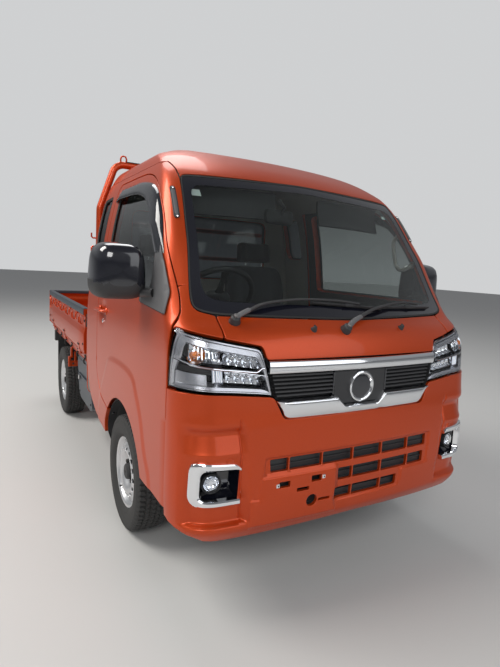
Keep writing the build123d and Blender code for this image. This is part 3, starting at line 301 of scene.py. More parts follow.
class Build:
    """Collects simple solids of several looks into one piece."""

    def __init__(self):
        self.v, self.f, self.m, self.looks = [], [], [], []
        self.n = 0

    def add(self, verts, faces, look):
        if look not in self.looks:
            self.looks.append(look)
        verts = np.asarray(verts, float).reshape(-1, 3)
        self.v.append(verts)
        self.f += [tuple(i + self.n for i in f) for f in faces]
        self.m += [self.looks.index(look)] * len(faces)
        self.n += len(verts)

    def box(self, lo, hi, look, bevel=2.0, tip=0.0):
        """A block with bevelled edges, which may be tipped by an angle about the x axis."""
        lo, hi = np.minimum(lo, hi).astype(float), np.maximum(lo, hi).astype(float)
        b = min(bevel, *(0.45 * (hi - lo)))
        verts, faces = [], []
        for axis in range(3):
            for side in (0, 1):
                a1, a2 = (axis + 1) % 3, (axis + 2) % 3
                quad = []
                for s1, s2 in ((0, 0), (1, 0), (1, 1), (0, 1)):
                    p = np.zeros(3)
                    p[axis] = (lo, hi)[side][axis]
                    p[a1] = lo[a1] + b if s1 == 0 else hi[a1] - b
                    p[a2] = lo[a2] + b if s2 == 0 else hi[a2] - b
                    quad.append(len(verts))
                    verts.append(p)
                faces.append(quad if side else quad[::-1])
        key = {}
        for i, p in enumerate(verts):
            axis = i // 8
            side = (i // 4) % 2
            corner = tuple(1 if p[k] > (lo[k] + hi[k]) / 2 else 0 for k in range(3))
            key[(axis, side, corner)] = i
        for axis in range(3):
            a1, a2 = (axis + 1) % 3, (axis + 2) % 3
            for c1 in (0, 1):
                for c2 in (0, 1):
                    ends = []
                    for c0 in (0, 1):
                        corner = [0, 0, 0]
                        corner[axis], corner[a1], corner[a2] = c0, c1, c2
                        ends.append((key[(a1, c1, tuple(corner))], key[(a2, c2, tuple(corner))]))
                    q = [ends[0][0], ends[1][0], ends[1][1], ends[0][1]]
                    faces.append(q if c1 == c2 else q[::-1])
        for c in np.ndindex(2, 2, 2):
            tri = [key[(k, c[k], c)] for k in range(3)]
            faces.append(tri if sum(c) % 2 == 1 else tri[::-1])
        verts = np.array(verts)
        middle = (lo + hi) / 2
        turn = np.array([[1, 0, 0], [0, math.cos(tip), -math.sin(tip)], [0, math.sin(tip), math.cos(tip)]])
        verts = (verts - middle) @ turn.T + middle if tip else verts
        self.add(verts, faces, look)

    def tube(self, path, radius, look, sides=14, closed=False, squash=None):
        """A round bar along a path. The radius may vary, and squash gives a flat section's second radius."""
        path = np.asarray(path, float)
        n = len(path)
        radii = np.broadcast_to(np.asarray(radius, float), (n,))
        if closed:
            t = np.roll(path, -1, 0) - np.roll(path, 1, 0)
        else:
            t = np.gradient(path, axis=0)
        t /= np.linalg.norm(t, axis=1)[:, None] + 1e-12
        up = np.array([0, 0, 1.0]) if abs(t[0][2]) < 0.9 else np.array([1.0, 0, 0])
        a = np.cross(t[0], up)
        a /= np.linalg.norm(a)
        rings = []
        ang = full_turn(sides)
        for k in range(n):
            a = a - t[k] * (a @ t[k])
            a /= np.linalg.norm(a)
            b = np.cross(t[k], a)
            r2 = radii[k] if squash is None else squash
            rings.append(path[k] + np.outer(np.cos(ang) * radii[k], a) + np.outer(np.sin(ang) * r2, b))
        faces = quads(n, sides, closed)
        if not closed:
            faces.append(tuple(range(sides))[::-1])
            faces.append(tuple((n - 1) * sides + i for i in range(sides)))
        self.add(np.concatenate(rings), faces, look)

    def lathe(self, centre, axis, profile, look, sides=32, closed=False):
        """Turns (radius, along the axis) pairs about an axis."""
        axis = np.asarray(axis, float) / np.linalg.norm(axis)
        a = np.cross(axis, [0, 0, 1.0] if abs(axis[2]) < 0.9 else [1.0, 0, 0])
        a /= np.linalg.norm(a)
        b = np.cross(axis, a)
        ang = full_turn(sides)
        ring = np.outer(np.cos(ang), a) + np.outer(np.sin(ang), b)
        verts = [np.asarray(centre, float) + axis * h + ring * max(r, 0.001) for r, h in profile]
        self.add(np.concatenate(verts), quads(len(profile), sides, closed), look)

    def sweep(self, rings, look, closed_ring=True, closed_loop=False):
        """Skin between rings of equal length."""
        rings = [np.asarray(r, float) for r in rings]
        self.add(np.concatenate(rings), quads(len(rings), len(rings[0]), closed_loop, closed_ring), look)

    def cap(self, ring, look, back=False):
        """One face over a ring."""
        self.add(ring, [tuple(range(len(ring)))[:: -1 if back else 1]], look)

    def block(self, rings, look):
        """A sweep that is closed at both ends."""
        self.sweep(rings, look)
        self.cap(rings[0], look, True)
        self.cap(rings[-1], look)

    def copy(self, q=1, by=(0, 0, 0)):
        """A moved copy, mirrored to the right side where q is -1."""
        other = Build()
        other.v = [v * [q, 1, 1] + by for v in self.v]
        other.f = self.f if q == 1 else [f[::-1] for f in self.f]
        other.m, other.looks, other.n = self.m, self.looks, self.n
        return other

    def make(self, name, body="truck", **more):
        return piece(name, np.concatenate(self.v), self.f, self.looks, body, index=self.m, **more)


# Curves and outlines
class Curve:
    """A smooth curve through rows of values that never overshoots them."""

    def __init__(self, x, y):
        x, y = np.asarray(x, float), np.asarray(y, float)
        order = np.argsort(x)
        self.x, self.y = x[order], y[order].reshape(len(x), -1)
        h = np.diff(self.x)[:, None]
        d = np.diff(self.y, axis=0) / h
        m = np.zeros_like(self.y)
        w1, w2 = 2 * h[1:] + h[:-1], h[1:] + 2 * h[:-1]
        good = d[1:] * d[:-1] > 0
        with np.errstate(divide="ignore", invalid="ignore"):
            m[1:-1] = np.where(good, (w1 + w2) / (w1 / d[:-1] + w2 / d[1:]), 0)
        m[0], m[-1] = d[0], d[-1]
        self.m = m

    def __call__(self, x):
        x = np.atleast_1d(np.asarray(x, float))
        i = np.clip(np.searchsorted(self.x, x, "right") - 1, 0, len(self.x) - 2)
        h = (self.x[i + 1] - self.x[i])[:, None]
        t = np.clip((x - self.x[i])[:, None] / h, 0, 1)
        a, b, ma, mb = self.y[i], self.y[i + 1], self.m[i] * h, self.m[i + 1] * h
        return a + t * (ma + t * (3 * (b - a) - 2 * ma - mb + t * (ma + mb - 2 * (b - a))))


def rounded(points, cut=1e9, step=14.0, closed=True):
    """A polygon with its corners rounded. Each point may carry its own cut length."""
    out = []
    n = len(points)
    pts = [np.array(p[:2], float) for p in points]
    cuts = [p[2] if len(p) > 2 else cut for p in points]
    for i in range(n):
        p = pts[i]
        if not closed and i in (0, n - 1):
            out.append(p)
            continue
        a, b = pts[i - 1], pts[(i + 1) % n]
        la, lb = np.linalg.norm(a - p), np.linalg.norm(b - p)
        ca, cb = min(cuts[i], la / 2), min(cuts[i], lb / 2)
        p0, p2 = p + (a - p) * ca / la, p + (b - p) * cb / lb
        k = max(2, int((ca + cb) / min(step, max(4.0, (ca + cb) / 5))))
        for t in np.linspace(0, 1, k + 1):
            out.append((1 - t) ** 2 * p0 + 2 * t * (1 - t) * p + t * t * p2)
    dense = []
    m = len(out)
    for i in range(m if closed else m - 1):
        a, b = out[i], out[(i + 1) % m]
        length = np.linalg.norm(b - a)
        if length < 0.4:
            continue
        k = max(1, int(round(length / step)))
        for t in np.arange(k) / k:
            dense.append(a + (b - a) * t)
    if not closed:
        dense.append(out[-1])
    return np.array(dense)


def area(ring):
    x, y = ring[:, 0], ring[:, 1]
    return 0.5 * np.sum(x * np.roll(y, -1) - y * np.roll(x, -1))


def leftward(ring):
    """A closed ring listed with its inside on the left."""
    return ring if area(ring) > 0 else ring[::-1]


def looped(ring):
    return np.vstack([ring, ring[:1]])


def inside(points, ring):
    """Which points lie inside a closed ring."""
    x, y = points[:, 0][:, None], points[:, 1][:, None]
    ax, ay = ring[:, 0][None], ring[:, 1][None]
    bx, by = np.roll(ring[:, 0], -1)[None], np.roll(ring[:, 1], -1)[None]
    cross = (ay > y) != (by > y)
    with np.errstate(divide="ignore", invalid="ignore"):
        hit = x < (bx - ax) * (y - ay) / (by - ay) + ax
    return (np.sum(cross & hit, axis=1) % 2) == 1


def reach(points, ring):
    """Distance from points to a closed ring."""
    a, b = ring, np.roll(ring, -1, 0)
    d = b - a
    rel = points[:, None] - a[None]
    t = np.clip((rel * d).sum(2) / np.maximum((d * d).sum(1), 1e-9), 0, 1)
    return np.sqrt((((rel - t[..., None] * d) ** 2).sum(2)).min(1))


def even(path, n):
    """A path with n points at equal spacing."""
    seg = np.linalg.norm(np.diff(path, axis=0), axis=1)
    t = np.concatenate([[0], np.cumsum(seg)])
    want = np.linspace(0, t[-1], n)
    return np.stack([np.interp(want, t, path[:, k]) for k in range(path.shape[1])], 1)


def shifted(ring, by):
    """A ring moved to its left-hand side, which is the material's side of a boundary."""
    a, b = ring - np.roll(ring, 1, 0), np.roll(ring, -1, 0) - ring
    a /= np.linalg.norm(a, axis=1)[:, None] + 1e-12
    b /= np.linalg.norm(b, axis=1)[:, None] + 1e-12
    na, nb = np.stack([-a[:, 1], a[:, 0]], 1), np.stack([-b[:, 1], b[:, 0]], 1)
    n = na + nb
    n /= np.maximum((n * n).sum(1), 0.5)[:, None] / 2
    return ring + n * by


def surface_normals(surf, u, v, h=1.2):
    du = surf(u + h, v) - surf(u - h, v)
    dv = surf(u, v + h) - surf(u, v - h)
    n = np.cross(du, dv)
    return n / (np.linalg.norm(n, axis=1)[:, None] + 1e-12)


def off_surface(surf, ring, height):
    """Points at a height above the places that a ring names on a surface."""
    return surf(*ring.T) + surface_normals(surf, *ring.T) * height


def spot_on(surf, place, u, z):
    """A point of a surface and its normal, from the place where it shows from the front or the side."""
    s = place(float(u), float(z))[..., 0].reshape(1)
    z = np.array([float(z)])
    return surf(s, z)[0], surface_normals(surf, s, z)[0]


def skin(surf, rings, step=36.0, profile=((0, 20), (0, 3), (0.9, 0.9), (3, 0)), lines=(), grid=None,
        inner=False, lift=0.0):
    """Meshes part of a surface between an outline and its holes, with rounded edges. The profile lists
    (drawn in, depth) pairs from the edge's far side to the face. Returns vertices, faces, normals and a
    mark per face, which is -1 on the inner side."""
    rings = [r if (area(r) > 0) == (k == 0) else r[::-1] for k, r in enumerate(rings)]
    faces_rings = [shifted(r, profile[-1][0]) for r in rings]
    step_u, step_v = (step, step) if np.isscalar(step) else step
    lo, hi = faces_rings[0].min(0), faces_rings[0].max(0)
    if grid is None:
        us = np.arange(math.floor(lo[0] / step_u) + 1, math.ceil(hi[0] / step_u)) * step_u
        vs = np.arange(math.floor(lo[1] / step_v) + 1, math.ceil(hi[1] / step_v)) * step_v
    else:
        us, vs = (np.asarray(g, float) for g in grid)
    gu, gv = np.meshgrid(us, vs)
    pts = np.stack([gu.ravel(), gv.ravel()], 1)
    if len(pts):
        keep = inside(pts, faces_rings[0])
        for r in faces_rings[1:]:
            keep &= ~inside(pts, r)
        pts = pts[keep]
    for r in faces_rings:
        if len(pts):
            pts = pts[reach(pts, r) > 0.3 * min(step_u, step_v)]
    coords, edges = [], []
    for r in faces_rings:
        base = len(coords)
        coords += list(r)
        edges += [(base + i, base + (i + 1) % len(r)) for i in range(len(r))]
    for line in lines:
        base = len(coords)
        coords += [np.asarray(p, float) for p in line]
        edges += [(base + i, base + i + 1) for i in range(len(line) - 1)]
    coords += list(pts)
    res = delaunay_2d_cdt([Vector(c) for c in coords], edges, [], 0, 1e-5)
    flat = np.array([tuple(c) for c in res[0]])
    tris = np.array([t for t in res[2] if len(t) == 3], int)
    where = {}
    for i, ids in enumerate(res[3]):
        for k in ids:
            where[k] = i
    mid = flat[tris].mean(1)
    keep = inside(mid, faces_rings[0])
    for r in faces_rings[1:]:
        keep &= ~inside(mid, r)
    tris = tris[keep]
    a, b, c = (flat[tris[:, k]] for k in range(3))
    turn = (b[:, 0] - a[:, 0]) * (c[:, 1] - a[:, 1]) - (b[:, 1] - a[:, 1]) * (c[:, 0] - a[:, 0]) < 0
    tris[turn] = tris[turn][:, ::-1]
    verts = [off_surface(surf, flat, lift)]
    normals = [surface_normals(surf, *flat.T)]
    faces = [tuple(t) for t in tris]
    marks = [0] * len(tris)
    total = len(flat)
    first = 0
    for r in rings:
        m = len(r)
        top = [where[first + i] for i in range(m)]
        first += m
        n0 = surface_normals(surf, *r.T)
        inward = surf(*shifted(r, 1.0).T) - surf(*r.T)
        inward -= n0 * (inward * n0).sum(1)[:, None]
        inward /= np.linalg.norm(inward, axis=1)[:, None] + 1e-12
        loops = []
        for k, (off, depth) in enumerate(profile[:-1]):
            at = shifted(r, off)
            p = off_surface(surf, at, lift - depth)
            nxt = profile[k + 1]
            before = profile[k - 1] if k else (off, depth + 1)
            d_off, d_dep = nxt[0] - before[0], before[1] - nxt[1]
            length = math.hypot(d_off, d_dep) + 1e-9
            n = n0 * (d_off / length) - inward * (d_dep / length)
            verts.append(p)
            normals.append(n)
            loops.append(list(range(total, total + m)))
            total += m
        for a, b in zip(loops, loops[1:] + [top]):
            faces += [(a[i], a[(i + 1) % m], b[(i + 1) % m], b[i]) for i in range(m)]
    marks += [0] * (len(faces) - len(marks))
    if inner:
        off, depth = profile[0]
        inner_flat = flat.copy()
        first = 0
        for r in rings:
            at = shifted(r, off)
            for i in range(len(r)):
                inner_flat[where[first + i]] = at[i]
            first += len(r)
        verts.append(off_surface(surf, inner_flat, lift - depth))
        normals.append(-surface_normals(surf, *inner_flat.T))
        faces += [tuple(int(i) + total for i in t[::-1]) for t in tris]
        marks += [-1] * len(tris)
    return np.concatenate(verts), faces, np.concatenate(normals), np.array(marks)


def runs(line, rings, clear=7.0):
    """The parts of a line that keep clear of a panel's edges."""
    ok = inside(line, rings[0]) & (reach(line, rings[0]) > clear)
    for r in rings[1:]:
        ok &= ~inside(line, r) & (reach(line, r) > clear)
    out, run = [], []
    for p, good in zip(line, ok):
        if good:
            run.append(p)
        elif run:
            out.append(run)
            run = []
    return [r for r in out + [run] if len(r) > 1]


def panel(name, surf, rings, look="paint", body="truck", mirror=False, replaces=(), inner_look=None, **more):
    v, f, n, marks = skin(surf, rings, **more)
    looks = [look]
    if more.get("inner"):
        looks.append(inner_look or look)
    if mirror:
        v, n = v * MIRROR, n * MIRROR
        f = [t[::-1] for t in f]
    piece(name, v, f, looks, body, index=-marks, normals=n, replaces=replaces)


def bead(build, surf, ring, profile, look, mirror=False):
    """A strip along a ring on a surface. The profile lists (to the left, height) pairs round the strip."""
    rings = []
    for off, height in profile:
        rings.append(off_surface(surf, shifted(ring, off), height) * (MIRROR if mirror else 1))
    build.sweep(rings[::-1] if mirror else rings, look)


# The cab's surface: height, front, crown, inset and corner radius
CAB = np.array([
    (372, 66, 45, 6, 150), (700, 62, 48, 2, 150), (728, 24, 50, 2, 150), (931, 30, 60, 2.5, 150),
    (985, 42, 70, 5, 145),
    (1030, 66, 85, 9, 130), (1075, 115, 100, 14.5, 105), (1366, 330, 62, 52, 80), (1637, 548, 62, 117, 76),
    (1690, 628, 66, 142, 96), (1750, 766, 52, 178, 116), (1810, 944, 50, 285, 126),
    (1850, 1116, 44, 345, 128),
    (1873, 1215, 41, 390, 122), (1885, 1370, 40, 460, 118),
])


CORNER, SIDE = 700, 850
BEND = SIDE - CORNER


class Form:
    """A body surface from a table of sections. Its domain runs round the front: 0 in the middle, CORNER where
    the corner starts, SIDE where the side starts, and then on along the side."""

    def __init__(self, table, key):
        self.key = key
        self.curve = Curve(key(table[:, 0]), table[:, 1:])

    def section(self, z):
        z = np.asarray(z, float)
        front, crown, inset, r = (q.reshape(z.shape) for q in self.curve(self.key(z).ravel()).T)
        half = HALF - inset
        big = (half ** 2 + crown ** 2) / (2 * crown)
        xc = half - r
        yc = front + big - np.sqrt((big - r) ** 2 - xc ** 2)
        return front, half, r, big, xc, yc, big * xc / (big - r), np.arcsin(xc / (big - r))

    def point(self, s, z, relief=None):
        s, z = np.broadcast_arrays(np.atleast_1d(np.asarray(s, float)), np.atleast_1d(np.asarray(z, float)))
        front, half, r, big, xc, yc, xt, th0 = self.section(z)
        a = np.abs(s)
        x1 = xt * np.minimum(a, CORNER) / CORNER
        th = th0 + np.clip((a - CORNER) / BEND, 0, 1) * (math.pi / 2 - th0)
        x = np.where(a < CORNER, x1, xc + r * np.sin(th))
        d = np.where(a < CORNER, front + big - np.sqrt(big ** 2 - x1 ** 2),
            yc - r * np.cos(th) + np.maximum(a - SIDE, 0))
        if relief is not None:
            h = relief(s, z, x, d)
            nx = np.where(a < CORNER, x1 / big, np.sin(th))
            x = x + nx * h
            d = d - np.sqrt(1 - nx ** 2) * h
        return np.stack([np.where(s < 0, -x, x), d, z], 1)

    def at_x(self, x, z):
        """Domain place of a point given from the front."""
        x, z = np.broadcast_arrays(np.asarray(x, float), np.asarray(z, float))
        front, half, r, big, xc, yc, xt, th0 = self.section(z)
        a = np.abs(x)
        th = np.arcsin(np.clip((a - xc) / r, -1, 1))
        s = np.where(a <= xt, CORNER * a / xt, CORNER + BEND * (th - th0) / (math.pi / 2 - th0))
        return np.stack([np.sign(x) * s, z], -1)

    def at_d(self, d, z):
        """Domain place of a point given from the left side."""
        d, z = np.broadcast_arrays(np.asarray(d, float), np.asarray(z, float))
        front, half, r, big, xc, yc, xt, th0 = self.section(z)
        th = np.arccos(np.clip((yc - d) / r, -1, 1))
        x1 = np.sqrt(np.maximum(big ** 2 - (front + big - d) ** 2, 0))
        s = np.where(d >= yc, SIDE + d - yc,
            np.where(th > th0, CORNER + BEND * (th - th0) / (math.pi / 2 - th0),
            CORNER * np.minimum(x1, xt) / xt))
        return np.stack([s, z], -1)


ROOF_TOP, HEADER_TOP, REAR_WALL = 1885.0, 1690.5, 1655.0
CAB_FORM = Form(CAB, lambda z: -np.sqrt(np.maximum(ROOF_TOP - z, 0)))
section, cab, at_x, at_d = CAB_FORM.section, CAB_FORM.point, CAB_FORM.at_x, CAB_FORM.at_d


def side_ring(points, **more):
    return at_d(*rounded(points, **more).T)


def front_ring(points, **more):
    return at_x(*rounded(points, **more).T)


def both(points):
    """A symmetric front outline from its left half, listed from bottom to top."""
    return list(points) + [(-p[0], *p[1:]) for p in points[::-1] if p[0] > 0]


def scaled(ring, k, centre=None):
    """A ring drawn smaller or larger about a point, which is its mean where none is given."""
    c = np.mean(ring, 0) if centre is None else np.asarray(centre, float)
    return c + (np.asarray(ring) - c) * k


def grow(ring, by):
    """A closed ring drawn larger."""
    return shifted(leftward(ring), -by)


ARCH = (807.0, 272.0)
ARCH_RADIUS = 343.0


def side_relief(s, z, x, d):
    """The flare round the front wheel, the belt line and the dish behind the door handle."""
    flat = np.stack([d, z], 1)
    far = reach(flat, FLARE)
    t = np.clip(np.where(inside(flat, FLARE), far, -far) / 40 + 0.35, 0, 1)
    belt = -3.0 * np.exp(-((z - 1112) / 15.0) ** 2)
    dish = -14.0 * np.exp(-(((d - 1215) / 64) ** 2 + ((z - 985) / 48) ** 2) ** 1.5)
    return 5.5 * t * t * (3 - 2 * t) + np.where(np.abs(s) > SIDE, belt + dish, 0)


FLARE = rounded([
    (364, 340), (364, 429), (436, 504), (481, 636), (560, 720), (602, 774), (724, 792), (906, 790),
    (1059, 771), (1101, 726),
    (1253, 541), (1300, 420), (1300, 340),
], step=40)


def body_side(s, z):
    return cab(s, z, side_relief)


DOOR = [
    (200, 378, 12), (795, 378, 3), (795, 505, 3), (1066, 508, 10), (1240, 545), (1336, 640, 60),
    (1336, 1652, 45), (910, 1652),
    (800, 1640), (700, 1611), (600, 1555), (505, 1474), (430, 1376), (350, 1267), (262, 1140), (200, 1045),
]
WINDOW = [
    (360, 1128, 14), (1232, 1128, 26), (1244, 1600, 40), (920, 1608), (760, 1590), (640, 1535), (540, 1450),
    (455, 1330),
]
QUARTER = [(1410, 1330, 30), (1560, 1330, 30), (1590, 1370, 60), (1596, 1590, 30), (1420, 1600, 30)]


def cut_by_circle(points, centre, radius, step=12.0):
    """A rounded outline with the part inside a wheel's circle replaced by the circle's arc."""
    ring = rounded(points, step=step)
    dist = np.hypot(ring[:, 0] - centre[0], ring[:, 1] - centre[1])
    out = dist >= radius
    n = len(ring)
    start = next(i for i in range(n) if out[i] and not out[i - 1])
    ring = np.roll(ring, -start, 0)
    out = np.roll(out, -start)
    last = max(i for i in range(n) if out[i])
    ring = ring[: last + 1]
    a0 = math.atan2(ring[-1][1] - centre[1], ring[-1][0] - centre[0])
    a1 = math.atan2(ring[0][1] - centre[1], ring[0][0] - centre[0])
    if a1 > a0:
        a1 -= 2 * math.pi
    if a0 - a1 > math.pi:
        a1 += 2 * math.pi
    k = max(4, int(abs(a1 - a0) * radius / step))
    return np.concatenate([ring, round_about(centre, radius, np.linspace(a0, a1, k + 2))])


door_domain = at_d(*cut_by_circle(DOOR, ARCH, ARCH_RADIUS).T)
window_domain = side_ring(WINDOW, step=12)
quarter_domain = side_ring(QUARTER, step=10)


def upto(path, start, stop):
    """Part of a closed ring, from its first point that passes start to the one that passes stop."""
    n = len(path)
    first = next(i for i in range(n) if start(path[i]) and not start(path[i - 1]))
    out = []
    for k in range(n):
        p = path[(first + k) % n]
        if k > 3 and stop(p):
            break
        out.append(p)
    return np.array(out)


DOOR_GAP = 5.0
door_full = side_ring(DOOR)
around_door = grow(door_full, DOOR_GAP)[::-1]


def in_arch(p):
    front, half, r, big, xc, yc, xt, th0 = section(p[1])
    return p[0] > SIDE and math.hypot(p[0] - SIDE + yc - ARCH[0], p[1] - ARCH[1]) < ARCH_RADIUS


pillar_path = upto(around_door, lambda p: p[1] > 1171.5 and p[0] < 1100, in_arch)
arc = round_about(ARCH, ARCH_RADIUS, np.linspace(math.radians(41), math.radians(28), 9))
arc = [p for p in arc if p[1] < 500] + [(1113, 419), (1114, 404), (1111, 388), (1105, 375)]
rear_low = side_ring([(1103, 367), (1356, 394), (1531, 468, 80), (1618, 660, 60), (1618, 1688, 6),
    (1200, 1688)],
                     cut=30, closed=False, step=16)
screen_side = np.array([(576 + (635.5 - 576) * (1600 - z) / 428 if z < 1600 else 576, z)
    for z in np.arange(1688, 1174, -12.0)])
frame_ring = np.concatenate([
    pillar_path,
    at_d(*np.array(arc).T),
    rear_low,
    at_d(np.arange(1180, 760, -16.0), 1688),
    at_x(screen_side[:, 0] + 2, screen_side[:, 1]),
])


def tidy_ring(ring, least=3.0):
    out = [ring[0]]
    for p in ring[1:]:
        if np.linalg.norm(p - out[-1]) > least:
            out.append(p)
    if np.linalg.norm(out[0] - out[-1]) < least:
        out.pop()
    return np.array(out)


frame_ring = tidy_ring(frame_ring)
door_domain = tidy_ring(door_domain)
THIN = ((0, 16), (0, 2.5), (0.8, 0.8), (2.5, 0))
DOOR_EDGE = ((11, 42), (11, 13), (0, 12), (0, 2.5), (0.8, 0.8), (2.5, 0))
WALL_EDGE = ((2, 42), (0, 40), (0, 2.5), (0.8, 0.8), (2.5, 0))
flare_lines = []
for off in (-14, -7, 0, 7, 14, 25):
    line = looped(shifted(leftward(FLARE), off))
    seg = np.cumsum(np.concatenate([[0], np.linalg.norm(np.diff(line, axis=0), axis=1)]))
    line = np.stack([np.interp(np.arange(0, seg[-1], 14.0), seg, line[:, k]) for k in (0, 1)], 1)
    flare_lines += runs(at_d(*line.T), [door_domain, window_domain])
for side, flip in FLIPS:
    panel(f"door_skin_{side}", body_side, [door_domain, window_domain], "paint", f"{side}_door", flip,
          f"door_{side}", inner_look="dash", step=24, profile=DOOR_EDGE, inner=True, lines=flare_lines)
    panel(f"side_body_{side}", body_side, [frame_ring, quarter_domain], "paint", "truck", flip,
          f"side_frame_{side}", inner_look="beige", step=30, profile=WALL_EDGE, inner=True)


def clear_of(ring, other):
    """A ring whose points inside another ring are moved out to that ring's edge."""
    edge = even(looped(other), 1500)
    near = edge[np.argmin(((ring[:, None] - edge[None]) ** 2).sum(2), axis=1)]
    return np.where(inside(ring, other)[:, None], near, ring)


# Front panel in three parts, between the lamps, the windshield and the door edges
seam = 567.0
front_centre = front_ring(both([
    (0, 940), (421.5, 940, 10), (434, 986, 14), (seam - 3, 1011, 6), (seam - 3, 1080.5, 6), (0, 1070),
]), cut=10, step=16)
edge_door = upto(around_door, lambda p: p[1] > 1051 and p[0] < 1100, lambda p: p[1] > 1167.5)
corner_ring = tidy_ring(np.concatenate([
    front_ring([(seam + 2, 1080), (seam + 2, 1012, 6), (660, 1030), (722, 1045)], cut=20, closed=False),
    edge_door,
    front_ring([(690, 1170), (635.5, 1187.5, 4), (645, 1118), (629, 1094), (590, 1086), (seam + 4, 1081)],
               cut=30, closed=False, step=8),
]), 4.0)
corner_ring = tidy_ring(clear_of(corner_ring, grow(door_full, DOOR_GAP + 1)), 4.0)

panel("front_skin", cab, [front_centre], "paint", replaces="front_panel", step=(30, 14), profile=THIN)
for side, flip in FLIPS:
    panel(f"front_corner_{side}", cab, [corner_ring], "paint", mirror=flip, step=(22, 14), profile=THIN)

# Roof: rows of the cab's section with rounded rear corners, and the header down to the windshield
REAR_STEP = Curve([1600, 1690, 1750, 1810, 1850, 1873, 1885], [0, 0, 1, 6, 16, 34, 66])
REAR_ROUND = Curve([1600, 1690, 1750, 1850, 1885], [34, 36, 60, 100, 110])


def roof_loop(z):
    front, half, r, big, xc, yc, xt, th0 = (float(q[0]) for q in section([z]))
    rear = REAR_WALL - float(REAR_STEP(z)[0, 0])
    rr = float(REAR_ROUND(z)[0, 0])
    x = [xt * t for t in np.linspace(0, 1, 22)]
    pts = [(q, front + big - math.sqrt(big * big - q * q)) for q in x[:-1]]
    pts += [(xc + r * math.sin(a), yc - r * math.cos(a)) for a in np.linspace(th0, math.pi / 2, 15)]
    pts += [(half, d) for d in np.linspace(yc, rear - rr, 14)[1:]]
    pts += round_about((half - rr, rear - rr), rr, np.linspace(0, math.pi / 2, 9)[1:])
    pts += [(q, rear) for q in np.linspace(half - rr, 0, 8)[1:]]
    left = [(px, pd, z) for px, pd in pts]
    return left + [(-px, pd, z) for px, pd, _ in left[-2:0:-1]]


def roof_rows(foot, w_end, n):
    """Loops from a height up to the roof's top, closer together where the roof is flat."""
    return [roof_loop(ROOF_TOP - w * w) for w in np.linspace(math.sqrt(ROOF_TOP - foot), w_end, n)]


rows = roof_rows(HEADER_TOP, 0.6, 34)
cols = len(rows[0])
roof_v = [p for row in rows for p in row]
roof_f = quads(len(rows), cols)
roof_f.append(tuple((len(rows) - 1) * cols + i for i in range(cols)))
head = [i for i in range(cols) if abs(rows[0][i][0]) < 575 and rows[0][i][1] < 1200]
head.sort(key=lambda i: rows[0][i][0])
low_edge = Curve([0, 420, 540, 562, 574], [1640, 1630, 1623, 1617, 1605])
header_rows = [head]
for t in (0.25, 0.5, 0.75, 0.9, 1.0):
    ids = []
    for i in head:
        x = rows[0][i][0]
        z = HEADER_TOP + (float(low_edge(abs(x))[0, 0]) - HEADER_TOP) * t
        ids.append(len(roof_v))
        roof_v.append(tuple(cab(at_x(x, z)[..., 0], z)[0]))
    header_rows.append(ids)
for a, b in zip(header_rows, header_rows[1:]):
    for i in range(len(a) - 1):
        roof_f.append((b[i], b[i + 1], a[i + 1], a[i]))
rim = header_rows[-1] + [r[-1] for r in header_rows[-2:0:-1]] + [head[-1]]
around = [(head[-1] + k) % cols for k in range(1, cols)]
around = around[: around.index(head[0])]
rim += around + [head[0]] + [r[0] for r in header_rows[1:-1]]
rim_p = np.array([roof_v[i] for i in rim])
inward = [0, 1000, 0] - rim_p * [1, 1, 0]
inward /= np.linalg.norm(inward, axis=1)[:, None]
base = len(roof_v)
m = len(rim)
for depth, drop in ((1.5, 2.0), (26.0, 2.0)):
    roof_v += [tuple(p) for p in rim_p + inward * depth - np.array([0, 0, drop])]
for i in range(m):
    j = (i + 1) % m
    roof_f.append((rim[j], rim[i], base + i, base + j))
    roof_f.append((base + j, base + i, base + m + i, base + m + j))
piece("roof_skin", roof_v, roof_f, "paint", sharp=50, replaces="roof_panel")

# Roof lining inside, drawn in from the same rows
lining = roof_rows(1650, 1.0, 16)
LINING_GAP, LINING_DROP = 46.0, 34.0
lv = np.concatenate(lining)
from_middle = lv * [1, 1, 0] - [0, 1150, 0]
lv = lv - from_middle * (LINING_GAP / np.linalg.norm(from_middle, axis=1)[:, None]) - [0, 0, LINING_DROP]
lf = [(b, a, d, c) for a, b, c, d in quads(len(lining), cols)]
lf.append(tuple((len(lining) - 1) * cols + i for i in range(cols))[::-1])
piece("roof_lining", lv, lf, "beige", sharp=60)


# Cab rear wall with stamped beads, and its window
def rear_face(u, v):
    u, v = np.broadcast_arrays(np.atleast_1d(np.asarray(u, float)), np.atleast_1d(np.asarray(v, float)))
    bead_rows = sum(np.exp(-((v - h) / 9.0) ** 2) for h in (560, 660, 760, 860, 960, 1060))
    d = REAR_WALL - 5 * bead_rows * (np.abs(u) < 520)
    return np.stack([-u, d, v], 1)


heights = np.array([432.0, 700, 1000, 1200, 1400, 1600, 1688])
half_at = section(heights)[1]
rear_outline = rounded(both([
    (0, 432), (half_at[0] - 2, 432, 50), *zip(half_at[1:-1] - 1, heights[1:-1]), (half_at[-1], 1688, 4),
    (0, 1688),
]), cut=60, step=24)
rear_hole = rounded([(-470, 1165), (470, 1165), (470, 1560), (-470, 1560)], cut=55, step=14)
panel("rear_wall_skin", rear_face, [rear_outline, rear_hole], "paint", replaces="cab_rear_wall",
    step=(60, 9), inner_look="beige",
      profile=((4, 34), (0, 33), (0, 24), (3, 12), (10, 4), (24, 0)), inner=True)

